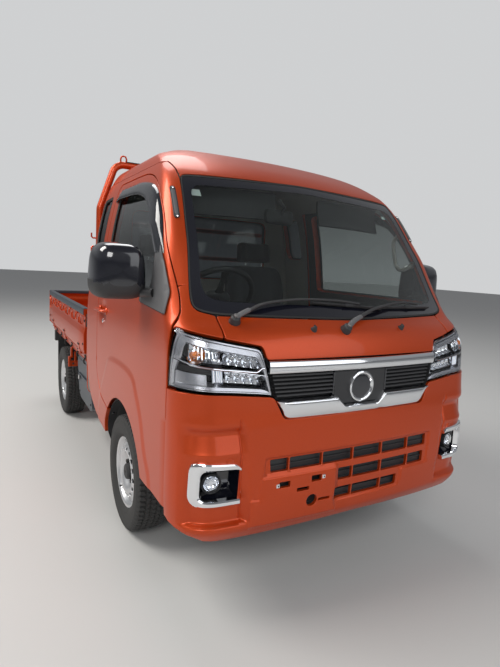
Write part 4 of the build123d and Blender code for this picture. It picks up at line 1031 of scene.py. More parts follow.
# Glass: windshield with its dark border, door glass and rear glass
screen = front_ring(both([(0, 1076), (560, 1087), (626, 1099), (640, 1120, 60), (573.5, 1599, 60),
    (557, 1614), (0, 1634)]), cut=40, step=14)
clear = front_ring(both([(0, 1118), (540, 1128, 60), (596, 1150, 60), (545, 1575, 50), (0, 1600)]), cut=60,
    step=14)
v, f, n, _ = skin(cab, [screen], step=(28, 20), profile=((1.5, 5), (0, 4), (0, 1), (1.2, 0)), inner=True,
    lines=[looped(clear)])
mids = np.array([np.mean([v[i] for i in t], 0) for t in f])
dom = at_x(mids[:, 0], mids[:, 2])
shown = np.where(inside(dom, clear), 1, 0)
piece("windshield_glass", v, f, ["gloss", "glass"], index=shown, normals=n, replaces="windshield")
gasket = Build()
bead(gasket, cab, grow(screen, 1.0), [(-3, -3), (-3, 1.5), (0, 2.2), (3, 1.5), (4, -3)], "rubber")
gasket.make("windshield_gasket")

# Door and quarter glass with gaskets and the dark frame round the openings
PANE = ((0, 4), (0, 0.5), (0.5, 0))
for side, flip in FLIPS:
    panel(f"door_window_{side}", body_side, [window_domain], "glass", f"{side}_door", flip,
        f"door_glass_{side}",
          step=60, profile=PANE, inner=True, lift=-8)
    rubber = Build()
    bead(rubber, body_side, window_domain, [(0, -12), (-1, -9), (7, -7), (8, -2), (4, 0.5), (-2, 1.8),
        (-4, 0.3)], "rubber", flip)
    rubber.make(f"door_gasket_{side}", f"{side}_door")
    rubber = Build()
    bead(rubber, body_side, quarter_domain, [(0, -12), (-1, -9), (9, -7), (10, -2), (4, 0.5), (-2, 1.8),
        (-4, 0.3)], "rubber", flip)
    rubber.make(f"quarter_gasket_{side}")
panes = Build()
v, f, _, _ = skin(body_side, [quarter_domain], step=60, profile=PANE, inner=True, lift=-8)
panes.add(v, f, "dark_glass")
panes.add(v * MIRROR, [t[::-1] for t in f], "dark_glass")
v, f, _, _ = skin(rear_face, [rear_hole], step=60, profile=PANE, inner=True, lift=-12)
panes.add(v, f, "dark_glass")
panes.make("rear_panes", replaces="rear_glass")
rubber = Build()
bead(rubber, rear_face, rear_hole, [(0, -16), (0, -12), (8, -10), (9, -4), (0, 2), (-6, 2), (-9, -2)],
    "rubber")
rubber.make("rear_window_gasket")


# Front bumper: height, front, crown, inset, corner radius
BUMPER = np.array([(290, 36, 40, 24, 150), (345, 6, 42, 6, 160), (480, 0, 42, 0, 160), (600, 2, 42, 0, 160),
    (690, 8, 44, 0, 155), (760, 16, 50, 0, 152), (840, 22, 54, 0, 150)], float)
NOSE = Form(BUMPER, lambda z: z)
POD = Curve([290, 336, 348, 354, 357, 369, 373, 380, 598, 608, 616, 621, 627, 676, 684, 692, 716, 722, 730,
    840],
            [0, 1.5, 2.5, 2, 0, -21, -23.5, -24, -9.5, -7.5, -6, -6, -8, -20, -21.5, -19.5, -3, -0.8, 0, 0])
PLATE = rounded([(-479, 336), (-96, 336), (-111, 372), (-111, 521), (-441, 521), (-441, 441), (-479, 446)],
    cut=6, step=20)
VENTS = rounded([(-426, 594), (412, 594), (402, 450), (246, 450), (238, 376), (-104, 376), (-104, 527),
    (-430, 527)], cut=7, step=20)


def pod_edges(z):
    """Foot and top of the chamfer on a pod's inner side."""
    t = np.clip((z - 345) / 380, 0, 1)
    return 474 + 20 * t, 500 + 15 * t


def nose_relief(s, z, x, d):
    """Corner pods behind a chamfer and a groove, a raised plate seat and an inset round the intakes."""
    outer, foot = pod_edges(z)
    fade = np.clip((802 - np.abs(s)) / 36, 0, 1)
    side = np.clip((x - outer) / (foot - outer), 0, 1) * fade * fade * (3 - 2 * fade)
    groove = -4 * np.clip(1.6 - np.abs(x - foot - 5) / 3.0, 0, 1) * ((z > 366) & (z < 738))
    flat = np.stack([np.where(s < 0, -x, x), z], 1)
    seat = np.where(inside(flat, PLATE), np.clip(reach(flat, PLATE) / 5, 0, 1) * 5.0, 0)
    vent = np.where(inside(flat, VENTS), np.clip(reach(flat, VENTS) / 6, 0, 1) * -5.0, 0)
    return side * POD(z)[:, 0] + groove + seat + vent


def nose(s, z):
    return NOSE.point(s, z, nose_relief)


def nose_x(points, **more):
    return NOSE.at_x(*rounded(points, **more).T)


low = rounded([(0, 302), (260, 295), (470, 291), (570, 294), (630, 299)], closed=False, step=24)
low_side = [(88, 326), (104, 335), (130, 344), (160, 352), (192, 362)]
up_side = rounded([(192, 400), (192, 600), (192, 828)], cut=4, closed=False, step=24)
high = rounded([(735, 828), (690, 829), (560, 822), (394, 806, 16), (376, 772), (352, 723, 22), (0, 723)],
    cut=20, closed=False, step=14)
half_ring = np.concatenate([
    NOSE.at_x(*low.T), NOSE.at_d(*np.array(low_side, float).T), NOSE.at_d(*up_side.T), NOSE.at_x(*high[1:].T),
])
other = half_ring[::-1] * [-1, 1]
bumper_ring = tidy_ring(np.concatenate([half_ring, other[np.abs(other[:, 0]) > 1]]))


def hole(x0, x1, z0, z1, cut=5, step=24):
    return nose_x([(x0, z0), (x1, z0), (x1, z1), (x0, z1)], cut=cut, step=step)


INTAKES = [
    (535, 583, (-408, -326, -179, -30, 122, 273, 392)),
    (460, 508, (-104, -27, 125, 281, 383)),
    (386, 430, (-120, -24, 130, 226)),
]
holes = []
for z0, z1, xs in INTAKES:
    for a, b in zip(xs, xs[1:]):
        lean = 4 if a == xs[0] else 0
        holes.append(nose_x([(a + 3 + lean, z0), (b - 3, z0), (b - 3, z1), (a + 3, z1)], cut=5, step=24))
fog_hole = [(521, 449), (668, 447), (676, 470), (668, 572), (640, 578), (521, 572)]
for q in (1, -1):
    holes.append(nose_x([(q * x, z) for x, z in fog_hole], cut=12, step=12))
holes += [
    hole(-366, -322, 475, 497, 2), hole(-228, -184, 478, 502, 2), hole(-290, -238, 449, 463, 2),
    hole(-190, -138, 396, 406, 2),
    nose_x(round_about((-221, 404), 24, full_turn(14)), step=8),
]
us = list(range(-456, 457, 19)) + [q * v for q in (-1, 1) for v in range(470, 705, 13)]
us += [q * (CORNER + BEND * t) for q in (-1, 1) for t in (0.08, 0.16, 0.24, 0.32, 0.4, 0.45, 0.5, 0.55, 0.6,
    0.65, 0.7, 0.8, 0.9, 1.0)]
vs = [296, 302, 308, 316, 325, 334, 343, 349, 353, 356, 359, 363, 367, 370, 373, 378, 384, 396, 420, 445,
    470, 484, 502, 520, 550, 574, 588, 594, 600, 606, 611, 615, 619, 623, 627, 634, 645, 660, 672, 680, 688,
    696, 704, 714, 721, 727, 733, 739, 746, 760, 780, 800, 815]
bumper_lines = []
for outline, offs in ((PLATE, (0, 2.5, 5.5)), (VENTS, (0, 3, 6.5))):
    for off in offs:
        line = even(looped(shifted(leftward(outline), off)), 110)
        bumper_lines += runs(NOSE.at_x(*line.T), [bumper_ring] + holes, 5.0)
for q in (-1, 1):
    for share, off in ((0, 0), (0.5, 0), (1, -0.5), (1, 2), (1, 5), (1, 8), (1, 10.5)):
        z = np.linspace(354, 744, 36)
        outer, foot = pod_edges(z)
        line = NOSE.at_x(q * (outer + (foot - outer) * share + off), z)
        bumper_lines += runs(line, [bumper_ring] + holes, 5.0)
panel("bumper_skin", nose, [bumper_ring] + holes, "paint", replaces="front_bumper", grid=(us, vs),
    step=(8, 6), lines=bumper_lines,
      profile=((0, 13), (0, 2), (0.6, 0.6), (2, 0)))
fixings = Build()
for x, z in ((-373, 485), (-174, 492)):
    p, _ = spot_on(nose, NOSE.at_x, x, z)
    fixings.box(p + [-7, -3, -8], p + [7, 6, 8], "chrome", 2)
    fixings.lathe(p + [0, -3, 0], (0, -1, 0), [(0, 1.5), (2.6, 1), (3, 0)], "plastic", 10)
for q in (-1, 1):
    fixings.lathe(*spot_on(nose, NOSE.at_x, q * 558, 593), [(0, 1.6), (10, 1.6), (11.5, 0.8), (12.5, 1.5),
        (13.5, 0.2)], "paint", 24)
fixings.box([-470, 34, 372], [470, 42, 590], "plastic", 4)
for z in np.arange(384, 584, 24.0):
    fixings.box([-440, 26, z], [440, 34, z + 4], "plastic", 1)
fixings.make("bumper_fixings")

# Fog lamps: black nest, round lamp and a chrome bezel round three sides
fog = Build()
ring = leftward(nose_x(fog_hole, cut=12, step=12))
rows = []
for off, depth in ((-1, 1.0), (0, -2), (3, -20), (12, -44), (20, -52), (58, -54)):
    at = shifted(ring, off) if off < 40 else scaled(ring, 0.05)
    rows.append(off_surface(nose, at, depth))
fog.sweep(rows, "gloss")
centre, _ = spot_on(nose, NOSE.at_x, 616, 508)
face = np.array([0.16, -1, 0])
face /= np.linalg.norm(face)
nest = centre - face * 44
fog.lathe(nest, face, [(36, 0), (37, 20), (36, 26), (34, 27), (32, 24), (30, 10), (22, 2), (0, 0)],
    "plastic", 40)
fog.lathe(nest, face, [(29, 24), (25, 15), (15, 8), (0, 6)], "silver", 32)
fog.lathe(nest, face, [(0, 22), (9, 21), (12, 14), (12, 2)], "chrome", 24)
fog.lathe(nest, face, [(0, 36), (13, 34.5), (24, 30), (30, 25), (31, 22), (28, 22), (23, 27), (13, 31),
    (0, 32)], "lens", 40)
fog.box(centre - face * 50 + [-62, -4, -58], centre - face * 50 + [34, 12, -40], "plastic", 4)
BEZEL_OUT = [(519, 438), (676, 437, 26), (698, 462, 26), (695, 576, 20), (682, 599, 18), (532, 588),
    (519, 574)]
BEZEL_IN = [(519, 459), (648, 459, 16), (661, 472, 16), (659, 552, 16), (646, 566, 14), (534, 563),
    (519, 560)]
out_path = rounded(BEZEL_OUT, closed=False, cut=24, step=7)
in_path = rounded(BEZEL_IN, closed=False, cut=24, step=7)
o, i = even(out_path, 46), even(in_path, 46)
strip = []
for t, height in ((0, -18), (0, 4), (0.08, 9), (0.25, 12), (0.75, 11), (0.95, 6), (1.0, -14)):
    at = o + (i - o) * t
    strip.append(off_surface(NOSE.point, NOSE.at_x(*at.T), height - 10))
fog.sweep(strip, "chrome", closed_ring=False)
for end in (0, -1):
    fog.cap([q[end] for q in strip], "chrome", end == -1)
fog.make("fog_lamp_left", replaces="fog_lamps")
fog.copy(-1).make("fog_lamp_right")

# Grille: black frame with slats, chrome bars above and below, and a plain round plate in the middle
GRILLE = rounded(both([(0, 722), (349, 722, 14), (371, 775, 30), (392, 812, 30), (424, 947, 8), (0, 947)]),
    cut=10, step=18)


def front_plane(s, z):
    """The grille's smooth plane, without the step of the section table."""
    z1 = np.maximum(np.asarray(z, float), 735.0)
    p = cab(s, z1)
    p[:, 2] = np.broadcast_to(z, p[:, 2].shape)
    return p


def face_points(x, z, lift):
    x, z = np.broadcast_arrays(np.atleast_1d(np.asarray(x, float)), np.atleast_1d(np.asarray(z, float)))
    dom = at_x(x, np.maximum(z, 735.0))
    return front_plane(dom[:, 0], z) - [0, lift, 0]


grille = Build()
inner = scaled(GRILLE, 0.02, (0, 835))
grille.sweep([face_points(*GRILLE.T, -1), face_points(*GRILLE.T, -26), face_points(*inner.T, -26)], "plastic")


def bar(build, xs, low, high, section_rows, look):
    """A bar across the front: at each x it spans low to high, with (share of height, lift) rows."""
    rows = [face_points(xs, low + (high - low) * t, lift) for t, lift in section_rows]
    build.sweep(rows, look, closed_ring=False)
    for end in (0, -1):
        build.cap([q[end] for q in rows], look, end == 0)


def edge_x(z):
    """Half width of the grille's opening at a height."""
    return float(np.interp(z, [722, 775, 812, 947], [346, 370, 390, 422]))


for k in range(6):
    z = 803 + k * 14.6
    for q in (-1, 1):
        xs = np.linspace(136, edge_x(z) - 8, 20) * q
        bar(grille, xs, z, z + 8.5, [(0, -22), (0, -9), (0.2, -5), (0.8, -7), (1, -12), (1, -22)], "plastic")
for q in (-1, 1):
    grille.box([q * 128, 30, 796], [q * 136, 50, 884], "gloss", 2)
    for z in (812, 830, 848, 866):
        p = face_points(q * 132, z, -4)[0]
        grille.lathe(p, (0, -1, 0), [(0, 2), (2.5, 1.6), (3, 0)], "plastic", 8)
bar(grille, np.linspace(-127, 127, 24), 757, 886, [(0, -18), (0, -8), (0.03, -5), (0.97, -5), (1, -8),
    (1, -18)], "plastic")
xs = np.linspace(-416, 416, 60)
bar(grille, xs, 889, 934 + 3 * (xs / 416) ** 2,
    [(0, -18), (0, -1), (0.05, 5), (0.14, 8), (0.5, 10), (0.86, 8), (0.95, 5), (1, -1), (1, -18)], "chrome")
bar(grille, np.linspace(-408, -150, 30), 897, 903, [(0, 4), (0, 8.6), (0.5, 9.6), (1, 9.4), (1, 4)], "chrome")
xs = np.concatenate([np.linspace(-384, -118, 24), np.linspace(-112, -88, 7), np.linspace(-80, 80, 14),
    np.linspace(88, 112, 7), np.linspace(118, 384, 24)])
top = 794 - 38 * np.clip((118 - np.abs(xs)) / 34, 0, 1)
bottom = np.interp(np.abs(xs), [0, 300, 330, 345, 352, 362, 372, 384], [716, 716, 718, 724, 736, 760, 775,
    790])
bar(grille, xs, bottom, np.maximum(top, bottom + 2), [(0, -18), (0, -2), (0.06, 5), (0.15, 9), (0.55, 14),
    (0.80, 16), (0.88, 14), (0.97, 4), (1, -18)], "chrome")
middle = face_points(0, 822, -4)[0]
grille.lathe(middle, (0, -1, 0), [(0, 2), (42, 2), (48, 3), (50, 7), (55, 9.5), (60, 8), (62, 2), (62, -6)],
    "chrome", 56)
grille.lathe(middle, (0, -1, 0), [(0, 4.5), (38, 4), (47, 3), (50, 2.5)], "gloss", 48)
grille.make("grille_assembly", replaces="grille")

# Headlamps: dark nest, satin surround, two rows of cells, amber indicator, chrome strips and a clear lens
def lamp_place(a, b, depth):
    """A point in the left lamp: a runs from its inner end outward, b from its lower edge up."""
    a, b, depth = np.broadcast_arrays(np.atleast_1d(np.asarray(a, float)), np.asarray(b, float),
        np.asarray(depth, float))
    z = (814 + 26 * np.clip(a, 0, 1) ** 0.8) * (1 - b) + (978 + 66 * a) * b
    s0 = at_x(399 + 38 * b, z)[..., 0]
    s1 = at_d(192, z)[..., 0]
    s = s0 + (s1 - s0) * a
    return cab(s, z) - surface_normals(cab, s, z) * depth[:, None]


lamp_ring = tidy_ring(np.concatenate([
    front_ring([(400, 813), (560, 828), (690, 837), (734, 839)], closed=False, cut=30),
    side_ring([(190, 844), (190, 1043)], closed=False),
    front_ring([(729, 1040), (655, 1021), (560, 1002), (440, 979, 20), (400, 813)], closed=False, cut=30,
        step=12)[:-1],
]), 4.0)
lamp_ring = tidy_ring(clear_of(lamp_ring, grow(door_full, DOOR_GAP + 2)), 4.0)
lamp = Build()
lens_v, lens_f, _, _ = skin(cab, [lamp_ring], step=(22, 16), profile=((0, 30), (0, 1.5), (0.5, 0.4),
    (1.5, 0)))
shell_v, shell_f, _, _ = skin(cab, [shifted(leftward(lamp_ring), 3)], step=(24, 18),
    profile=((0, -40), (0, -1), (1, 0)), lift=-54)
lamp.add(shell_v, shell_f, "gloss")
ring = leftward(lamp_ring)
inner_end = np.clip((ring[:, 0] - 445) / 60, 0.25, 1)[:, None]
high_side = np.clip((ring[:, 1] - 900) / 60, 0, 1)[:, None]
wide = (21 + 15 * high_side) * inner_end
rows = []
for share, depth in ((0.1, 26), (0.1, 9), (0.16, 6), (0.30, 6.5), (0.33, 10), (0.38, 10), (0.41, 6),
        (0.90, 8), (1.0, 12), (1.05, 50)):
    rows.append(off_surface(cab, shifted(ring, wide * share), -depth))
lamp.sweep(rows[:2], "plastic")
lamp.sweep(rows[1:5], "satin")
lamp.sweep(rows[4:6], "gloss")
lamp.sweep(rows[5:], "satin")


def lamp_grid(a_edges, b_edges, depth, look, lean=0.0):
    """A curved patch in the lamp, from functions of two numbers between 0 and 1."""
    n = 9
    u, v = np.meshgrid(np.linspace(0, 1, n), np.linspace(0, 1, n))
    u, v = u.ravel(), v.ravel()
    a = a_edges[0] + (a_edges[1] - a_edges[0]) * u + lean * (0.5 - v)
    b = b_edges[0] + (b_edges[1] - b_edges[0]) * v
    p = lamp_place(a, b, depth(u, v))
    lamp.add(p, quads(n, n, wrap_cols=False), look)


def lamp_strip(path, radius, look, depth):
    a, b = even(rounded([(x * 1000, y * 300) for x, y in path], closed=False, cut=50, step=12),
        40).T / [[1000], [300]]
    lamp.tube(lamp_place(a, b, depth), radius, look, 8)


def cell(part):
    """Depth of a reflector cell's inner half, which is part 0, or of its outer half."""
    def depth(u, v):
        bowl = np.sin(math.pi * np.clip(v, 0.02, 1)) ** 0.6
        return 18 + 26 * bowl * (0.6 + 0.4 * (u if part else 1 - u))
    return depth


for b0, b1 in ((0.53, 0.80), (0.19, 0.40)):
    for k in range(5):
        a0 = 0.05 + 0.096 * k + (0.03 if b0 < 0.3 else 0.0)
        for part in range(2):
            lo, hi = a0 + 0.047 * part, a0 + 0.047 * (part + 1) - 0.003
            lamp_grid((lo, hi), (b0, b1), cell(part), "silver", lean=0.05)
        lamp_grid((a0 + 0.02, a0 + 0.07), (b1 - 0.035, b1 - 0.005), lambda u, v: 17 + 3 * v, "lamp_and_painted_glow")
    lamp_grid((0.03, 0.56), (b1, b1 + 0.035), lambda u, v: 14 + 30 * (1 - v), "satin")
    lamp_grid((0.03, 0.56), (b0 - 0.05, b0), lambda u, v: 14 + 30 * v, "silver")
    lamp_grid((0.54, 0.56), (b0, b1), lambda u, v: 16 + 24 * u, "chrome", lean=0.05)
lamp_grid((0.57, 0.84), (0.52, 0.83), lambda u, v: 14 + 34 * (1 - (2 * u - 1) ** 2) * (1 - (2 * v - 1) ** 4),
    "silver")
for k in range(7):
    a = 0.60 + 0.033 * k
    lamp.tube(lamp_place(np.full(7, a), np.linspace(0.55, 0.80, 7), 30 + 8 * math.sin(k)), 2.2, "silver", 6)
lamp_grid((0.555, 0.66), (0.16, 0.42), lambda u, v: 16 + 22 * np.sin(math.pi * u), "silver")
for k in range(4):
    lamp.tube(lamp_place(np.full(6, 0.575 + 0.024 * k), np.linspace(0.19, 0.40, 6), 15), 2.6, "lamp_and_painted_glow", 6)
c = lamp_place(0.78, 0.66, 38)[0]
_, out = spot_on(cab, at_x, 690, 950)
lamp.lathe(c, out, [(0, 27), (7, 25), (12, 18), (13, 8), (10, 0), (10, -8)], "amber", 24)
lamp.lathe(c, out, [(10, -8), (16, -6), (26, 2), (34, 12)], "silver", 24)
for k in range(5):
    lamp_strip([(0.865, 0.60 + 0.035 * k), (0.945, 0.61 + 0.035 * k)], 2.4, "plastic", 13)
lamp_grid((0.85, 0.96), (0.57, 0.80), lambda u, v: 22 + 0 * u, "plastic")
lamp_strip([(0.98, 0.50), (0.90, 0.49), (0.78, 0.44), (0.60, 0.425), (0.20, 0.45), (0.13, 0.455),
    (0.07, 0.56), (0.03, 0.57)], 4.0, "chrome", 9)
lamp_strip([(0.01, 0.40), (0.25, 0.405), (0.45, 0.41)], 2.4, "chrome", 9)
lamp_grid((0.70, 0.98), (0.06, 0.30), lambda u, v: 12 + 8 * (1 - u) * v, "satin")
lamp_grid((0.66, 0.98), (0.31, 0.42), lambda u, v: 20 + 0 * u, "plastic")
lamp_grid((0.03, 0.70), (0.10, 0.17), lambda u, v: 12 + 26 * v, "satin")
lamp_grid((0.70, 0.97), (0.82, 0.90), lambda u, v: 12 + 20 * (1 - v), "satin")
lamp.make("headlamp_left", replaces="headlamps")
lamp.copy(-1).make("headlamp_right")
lens = Build()
lens.add(lens_v, lens_f, "lens")
for side, q in SIDES:
    lens.copy(q).make(f"headlamp_lens_{side}", sharp=40)


# Wipers and washer nozzles
def on_cab(x, z, lift=0.0):
    p, n = spot_on(cab, at_x, x, z)
    return p + n * lift


def off_cab(points):
    """A path from (x, z, height above the cab) points, smoothed."""
    p = np.array([on_cab(*q) for q in points])
    out = []
    for k in range(len(p) - 1):
        a, b = p[max(k - 1, 0)], p[min(k + 2, len(p) - 1)]
        for t in np.linspace(0, 1, 9)[: -1 if k < len(p) - 2 else None]:
            out.append(0.5 * (2 * p[k] + (p[k + 1] - a) * t + (2 * a - 5 * p[k] + 4 * p[k + 1] - b) * t * t
                + (3 * p[k] - a - 3 * p[k + 1] + b) * t ** 3))
    return np.array(out)


wipers = Build()
for pivot, elbow, arm_points, blade in (
    ((-508, 1062), (-450, 1088), [(-450, 1088, 24), (-380, 1112, 27), (-230, 1131, 24), (-60, 1131, 20),
        (60, 1122, 15)], ((-170, 1128), (180, 1108))),
    ((-62, 1037), (24, 1066), [(24, 1066, 30), (100, 1092, 32), (230, 1116, 28), (340, 1126, 22),
        (430, 1122, 15)], ((200, 1112), (520, 1110))),
):
    c, n = spot_on(cab, at_x, *pivot)
    wipers.lathe(c - n * 4, n, [(22, 0), (22, 6), (19, 16), (17, 26), (12, 31), (0, 33)], "plastic", 24)
    wipers.lathe(c, n, [(9, 27), (9, 34), (6, 36), (0, 36)], "engine", 6)
    path = off_cab([(pivot[0], pivot[1], 20), ((pivot[0] + elbow[0]) / 2, (pivot[1] + elbow[1]) / 2 + 2, 25),
        (*elbow, 27)])
    wipers.tube(path, np.linspace(13, 10, len(path)), "grey_plastic", 12, squash=9)
    path = off_cab(arm_points)
    wipers.tube(path, np.linspace(11, 6, len(path)), "plastic", 12, squash=5)
    (x0, z0), (x1, z1) = blade
    xs = np.linspace(x0, x1, 15)
    zs = np.linspace(z0, z1, 15)
    for height, radius, flat, look in ((9, 6, 3.5, "plastic"), (3.0, 2.0, 3.0, "rubber"),
            (14, 2.5, 2, "plastic")):
        wipers.tube(np.array([on_cab(x, z, height + 1.5 * math.sin(math.pi * i / 14))
            for i, (x, z) in enumerate(zip(xs, zs))]), radius, look, 8, squash=flat)
    mid = on_cab((x0 + x1) / 2, (z0 + z1) / 2, 13)
    wipers.box(mid + [-22, -5, -7], mid + [22, 5, 7], "plastic", 3)
for x in (-208, 246):
    c, n = spot_on(cab, at_x, x, 1039)
    wipers.lathe(c, n, [(13, -2), (12, 2), (9, 8), (8, 14), (5, 18), (0, 19)], "plastic", 18)
    wipers.lathe(c + n * 12, np.array([0, 0.5, 1]), [(0, 3), (3, 4), (4, 10), (0, 11)], "rubber", 10)
wipers.make("wipers")


# Door mirrors
def on_side(d, z, lift=0.0):
    p, n = spot_on(body_side, at_d, d, z)
    return p + n * lift


mirror = Build()
centre = np.array([826.0, 0, 1215])
ang = full_turn(56)
shape = np.stack([np.sign(np.cos(ang)) * np.abs(np.cos(ang)) ** 0.52 * 98,
    np.sign(np.sin(ang)) * np.abs(np.sin(ang)) ** 0.52 * 109], 1)
shape[:, 0] += -6 * (shape[:, 1] / 109) * (shape[:, 0] / 84)
rows = []
for d, k in ((566, 0.86), (572, 0.93), (588, 0.96), (590, 0.98), (584, 1.0), (555, 1.005), (525, 0.995),
        (498, 0.96), (478, 0.91), (463, 0.83), (452, 0.70), (446, 0.5), (444, 0.25), (443.5, 0.01)):
    x, z = shape.T * k
    rows.append(np.stack([centre[0] + x + (590 - d) * 0.02, d + 16 * x / 98, centre[2] + z], 1))
mirror.sweep(rows[::-1], "gloss")
mirror.looks += ["plastic", "satin"]
verts = np.concatenate(mirror.v)
for i, t in enumerate(mirror.f):
    q = verts[list(t)].mean(0)
    seam_z = 1166 + 9 * ((q[0] - centre[0]) / 98) ** 2
    if q[2] < seam_z or q[1] > 583 + 16 * (q[0] - centre[0]) / 98:
        mirror.m[i] = 1
row = np.array([[centre[0] + x * 0.9, 568 + 16 * (x / 98), centre[2] + z * 0.9] for x, z in shape])
mirror.add(np.vstack([row, [[centre[0], 566, centre[2]]]]), [(i, (i + 1) % 56, 56) for i in range(56)],
    "mirror")
arm_path = np.array([on_side(418, 1140, 2), on_side(440, 1138, 22), (745, 500, 1135), (775, 535, 1133),
    (812, 548, 1132)], float)
mirror.tube(even(arm_path, 14), np.linspace(26, 20, 14), "plastic", 16, squash=17)
SAIL = [(272, 1074, 6), (300, 1077, 8), (575, 1092, 16), (592, 1108, 12), (582, 1122, 10), (500, 1126),
    (474, 1150, 20), (452, 1180, 30), (466, 1338, 10), (444, 1352, 6), (362, 1254), (290, 1150)]
sail_ring = side_ring(SAIL, cut=14, step=10)
sv, sf, _, _ = skin(body_side, [sail_ring], step=24, profile=((0, -0.5), (0, 3), (1, 1), (3, 0)), lift=7)
mirror.add(sv, sf, "grey_plastic")
mirror.make("mirror_left_head", "left_door", replaces="mirror_left", sharp=40)
mirror.copy(-1).make("mirror_right_head", "right_door", replaces="mirror_right", sharp=40)

# Smoked rain visors over the door windows, door handles, and the pillars' slotted trims
for side, flip in FLIPS:
    visor = Build()
    upper = rounded([(388, 1292), (439, 1376), (500, 1462), (578, 1533), (660, 1575), (740, 1597),
        (850, 1613), (943, 1618), (1222, 1622), (1300, 1588), (1306, 1560)], closed=False, cut=60, step=18)
    lower = rounded([(462, 1292), (500, 1352), (560, 1432), (630, 1489), (700, 1520), (790, 1541),
        (870, 1550), (960, 1553), (1215, 1556), (1262, 1552), (1296, 1556)], closed=False, cut=60, step=18)
    u, w = even(upper, 60), even(lower, 60)
    rows = []
    for t, height in ((0, 0.5), (0.0, 4), (0.12, 12), (0.35, 20), (0.7, 24), (1.0, 25), (1.02, 23),
            (0.7, 21.5), (0.35, 17.5), (0.12, 9), (0.03, 1)):
        at = u + (w - u) * t
        fade = [min(1, 0.35 + 0.65 * min(i, 59 - i) / 8) for i in range(60)]
        rows.append([on_side(*p, height * k) for p, k in zip(at, fade)])
    visor.sweep(rows[::-1], "smoke", closed_ring=False, closed_loop=True)
    visor.copy(-1 if flip else 1).make(f"visor_{side}", f"{side}_door", sharp=60)
    handle = Build()
    path = np.array([on_side(d, 992 - (d - 1215) * 0.02, h) for d, h in ((1132, -2), (1136, 16), (1146, 27),
        (1170, 32), (1215, 33), (1258, 30), (1280, 24), (1291, 12), (1293, -2))])
    handle.tube(even(path, 28), 15, "paint", 16, squash=8)
    handle.lathe(on_side(1215, 935, -1), (1, 0, 0), [(0, 5), (8, 5), (10, 4), (11, 0)], "chrome", 20)
    handle.box(on_side(1215, 935, 3) + [0, -1, -4], on_side(1215, 935, 3) + [1.5, 1, 4], "plastic", 0.5)
    for d in (1140, 1287):
        handle.lathe(on_side(d, 992, 0), (1, 0, 0), [(20, -1), (20, 3), (17, 7), (0, 8)], "paint", 20)
    handle.copy(-1 if flip else 1).make(f"door_handle_{side}", f"{side}_door")
    slot = Build()
    q0, q1 = np.array([(616, 1558), (629, 1428)], float)
    along = np.linspace(0, 1, 20)
    for inset, lift, radius, flat, look in ((0, 1.0, 13, 4, "plastic"), (0.09, 3.5, 8, 3, "grey_plastic")):
        path = np.array([on_cab(*(q0 + (q1 - q0) * (inset + (1 - 2 * inset) * t)), lift) for t in along])
        slot.tube(path, radius * np.clip(np.minimum(along, 1 - along) * 20 + 0.55, 0, 1), look, 14,
            squash=flat)
    for t in (0.05, 0.95):
        slot.lathe(on_cab(*(q0 + (q1 - q0) * t), 3), (0.6, -0.8, 0.3), [(0, 4), (5, 3.4), (7, 0), (7, -3)],
            "chrome", 16)
    slot.copy(-1 if flip else 1).make(f"pillar_slot_{side}")

# Wheels: block tread tyres on steel rims with a ring of slots, caps and nuts. Built once at the middle.
PITCHES, TREAD = 66, 62


def tyre_mesh():
    t = Build()
    segs = 480
    across = np.linspace(-TREAD, TREAD, 45)
    ang = full_turn(segs)
    pitch = PITCHES * ang / (2 * math.pi)
    zig = 2.6 * np.sin(2 * math.pi * pitch)

    def hoop(x, r):
        return np.stack([np.full(segs, x), r * np.cos(ang), r * np.sin(ang)], 1)

    outer = []
    for x in across:
        crown = AXLE_HEIGHT - 5.0 * (abs(x) / TREAD) ** 2.4
        cut = np.zeros(segs)
        for g, w in ((-37, 3.0), (-13, 3.2), (13, 3.2), (37, 3.0)):
            cut = np.maximum(cut, np.clip((w + 1.6 - np.abs(x - g - zig * np.sign(g))) / 1.6, 0, 1))
        row = 0 if abs(x) < 13 else (1 if abs(x) < 37 else 2)
        shift = (0.0, 0.33, 0.66)[row] + 0.004 * x * (1 if x > 0 else -1)
        lateral = np.abs(((pitch + shift) % 1) - 0.5)
        width = (0.10, 0.11, 0.15)[row]
        cut = np.maximum(cut, np.clip((lateral - (0.5 - width)) / 0.05, 0, 1) * (0.8 if row < 2 else 1))
        sipe = np.abs(((pitch + shift + 0.5) % 1) - 0.5)
        cut = np.maximum(cut, 0.45 * np.clip((0.035 - sipe) / 0.02, 0, 1))
        outer.append(crown - 7.0 * cut)
    rows = [hoop(x, r) for x, r in zip(across, outer)]
    side = [(65, 262), (68, 257), (70.5, 250), (71.5, 246), (72.0, 245.4), (72.4, 240), (73.4, 239.4),
        (73.4, 236), (72.8, 235), (73.3, 222), (73.4, 208), (72.6, 196), (71.4, 193), (71.4, 190),
        (70.0, 186), (66, 176), (62, 170), (60, 167), (56, 160), (52, 153), (30, 152)]
    lug = np.clip((np.abs(((pitch + 0.66) % 1) - 0.5) - 0.34) / 0.05, 0, 1)
    for q in (1, -1):
        strip = [hoop(x * q, r - (5 * lug if k < 2 else 0)) for k, (x, r) in enumerate(side)]
        rows = rows + strip if q == 1 else strip[::-1] + rows
    t.sweep(rows, "tyre")
    return t


NUTS = full_turn(4) + math.pi / 4
RIM = [(163, 59), (165, 57.5), (164.5, 55), (160, 54.5), (155, 53), (152.5, 50), (152, 42), (148, 38),
    (135, 30), (131, 22), (131, -10), (140, -24), (151, -32), (152.5, -50), (160, -54), (165, -56),
    (165, -59), (162, -59), (150, -53), (146, -32), (136, -20), (127, -8), (127, 22), (132, 33), (146, 44),
    (150, 52), (155, 57), (160, 59)]
DISC = Curve([0, 33, 36, 60, 66, 80, 90, 98, 104, 112, 122, 131, 139], [30, 30, 24, 24, 28, 41, 48, 51, 51,
    49, 43.5, 37, 33])


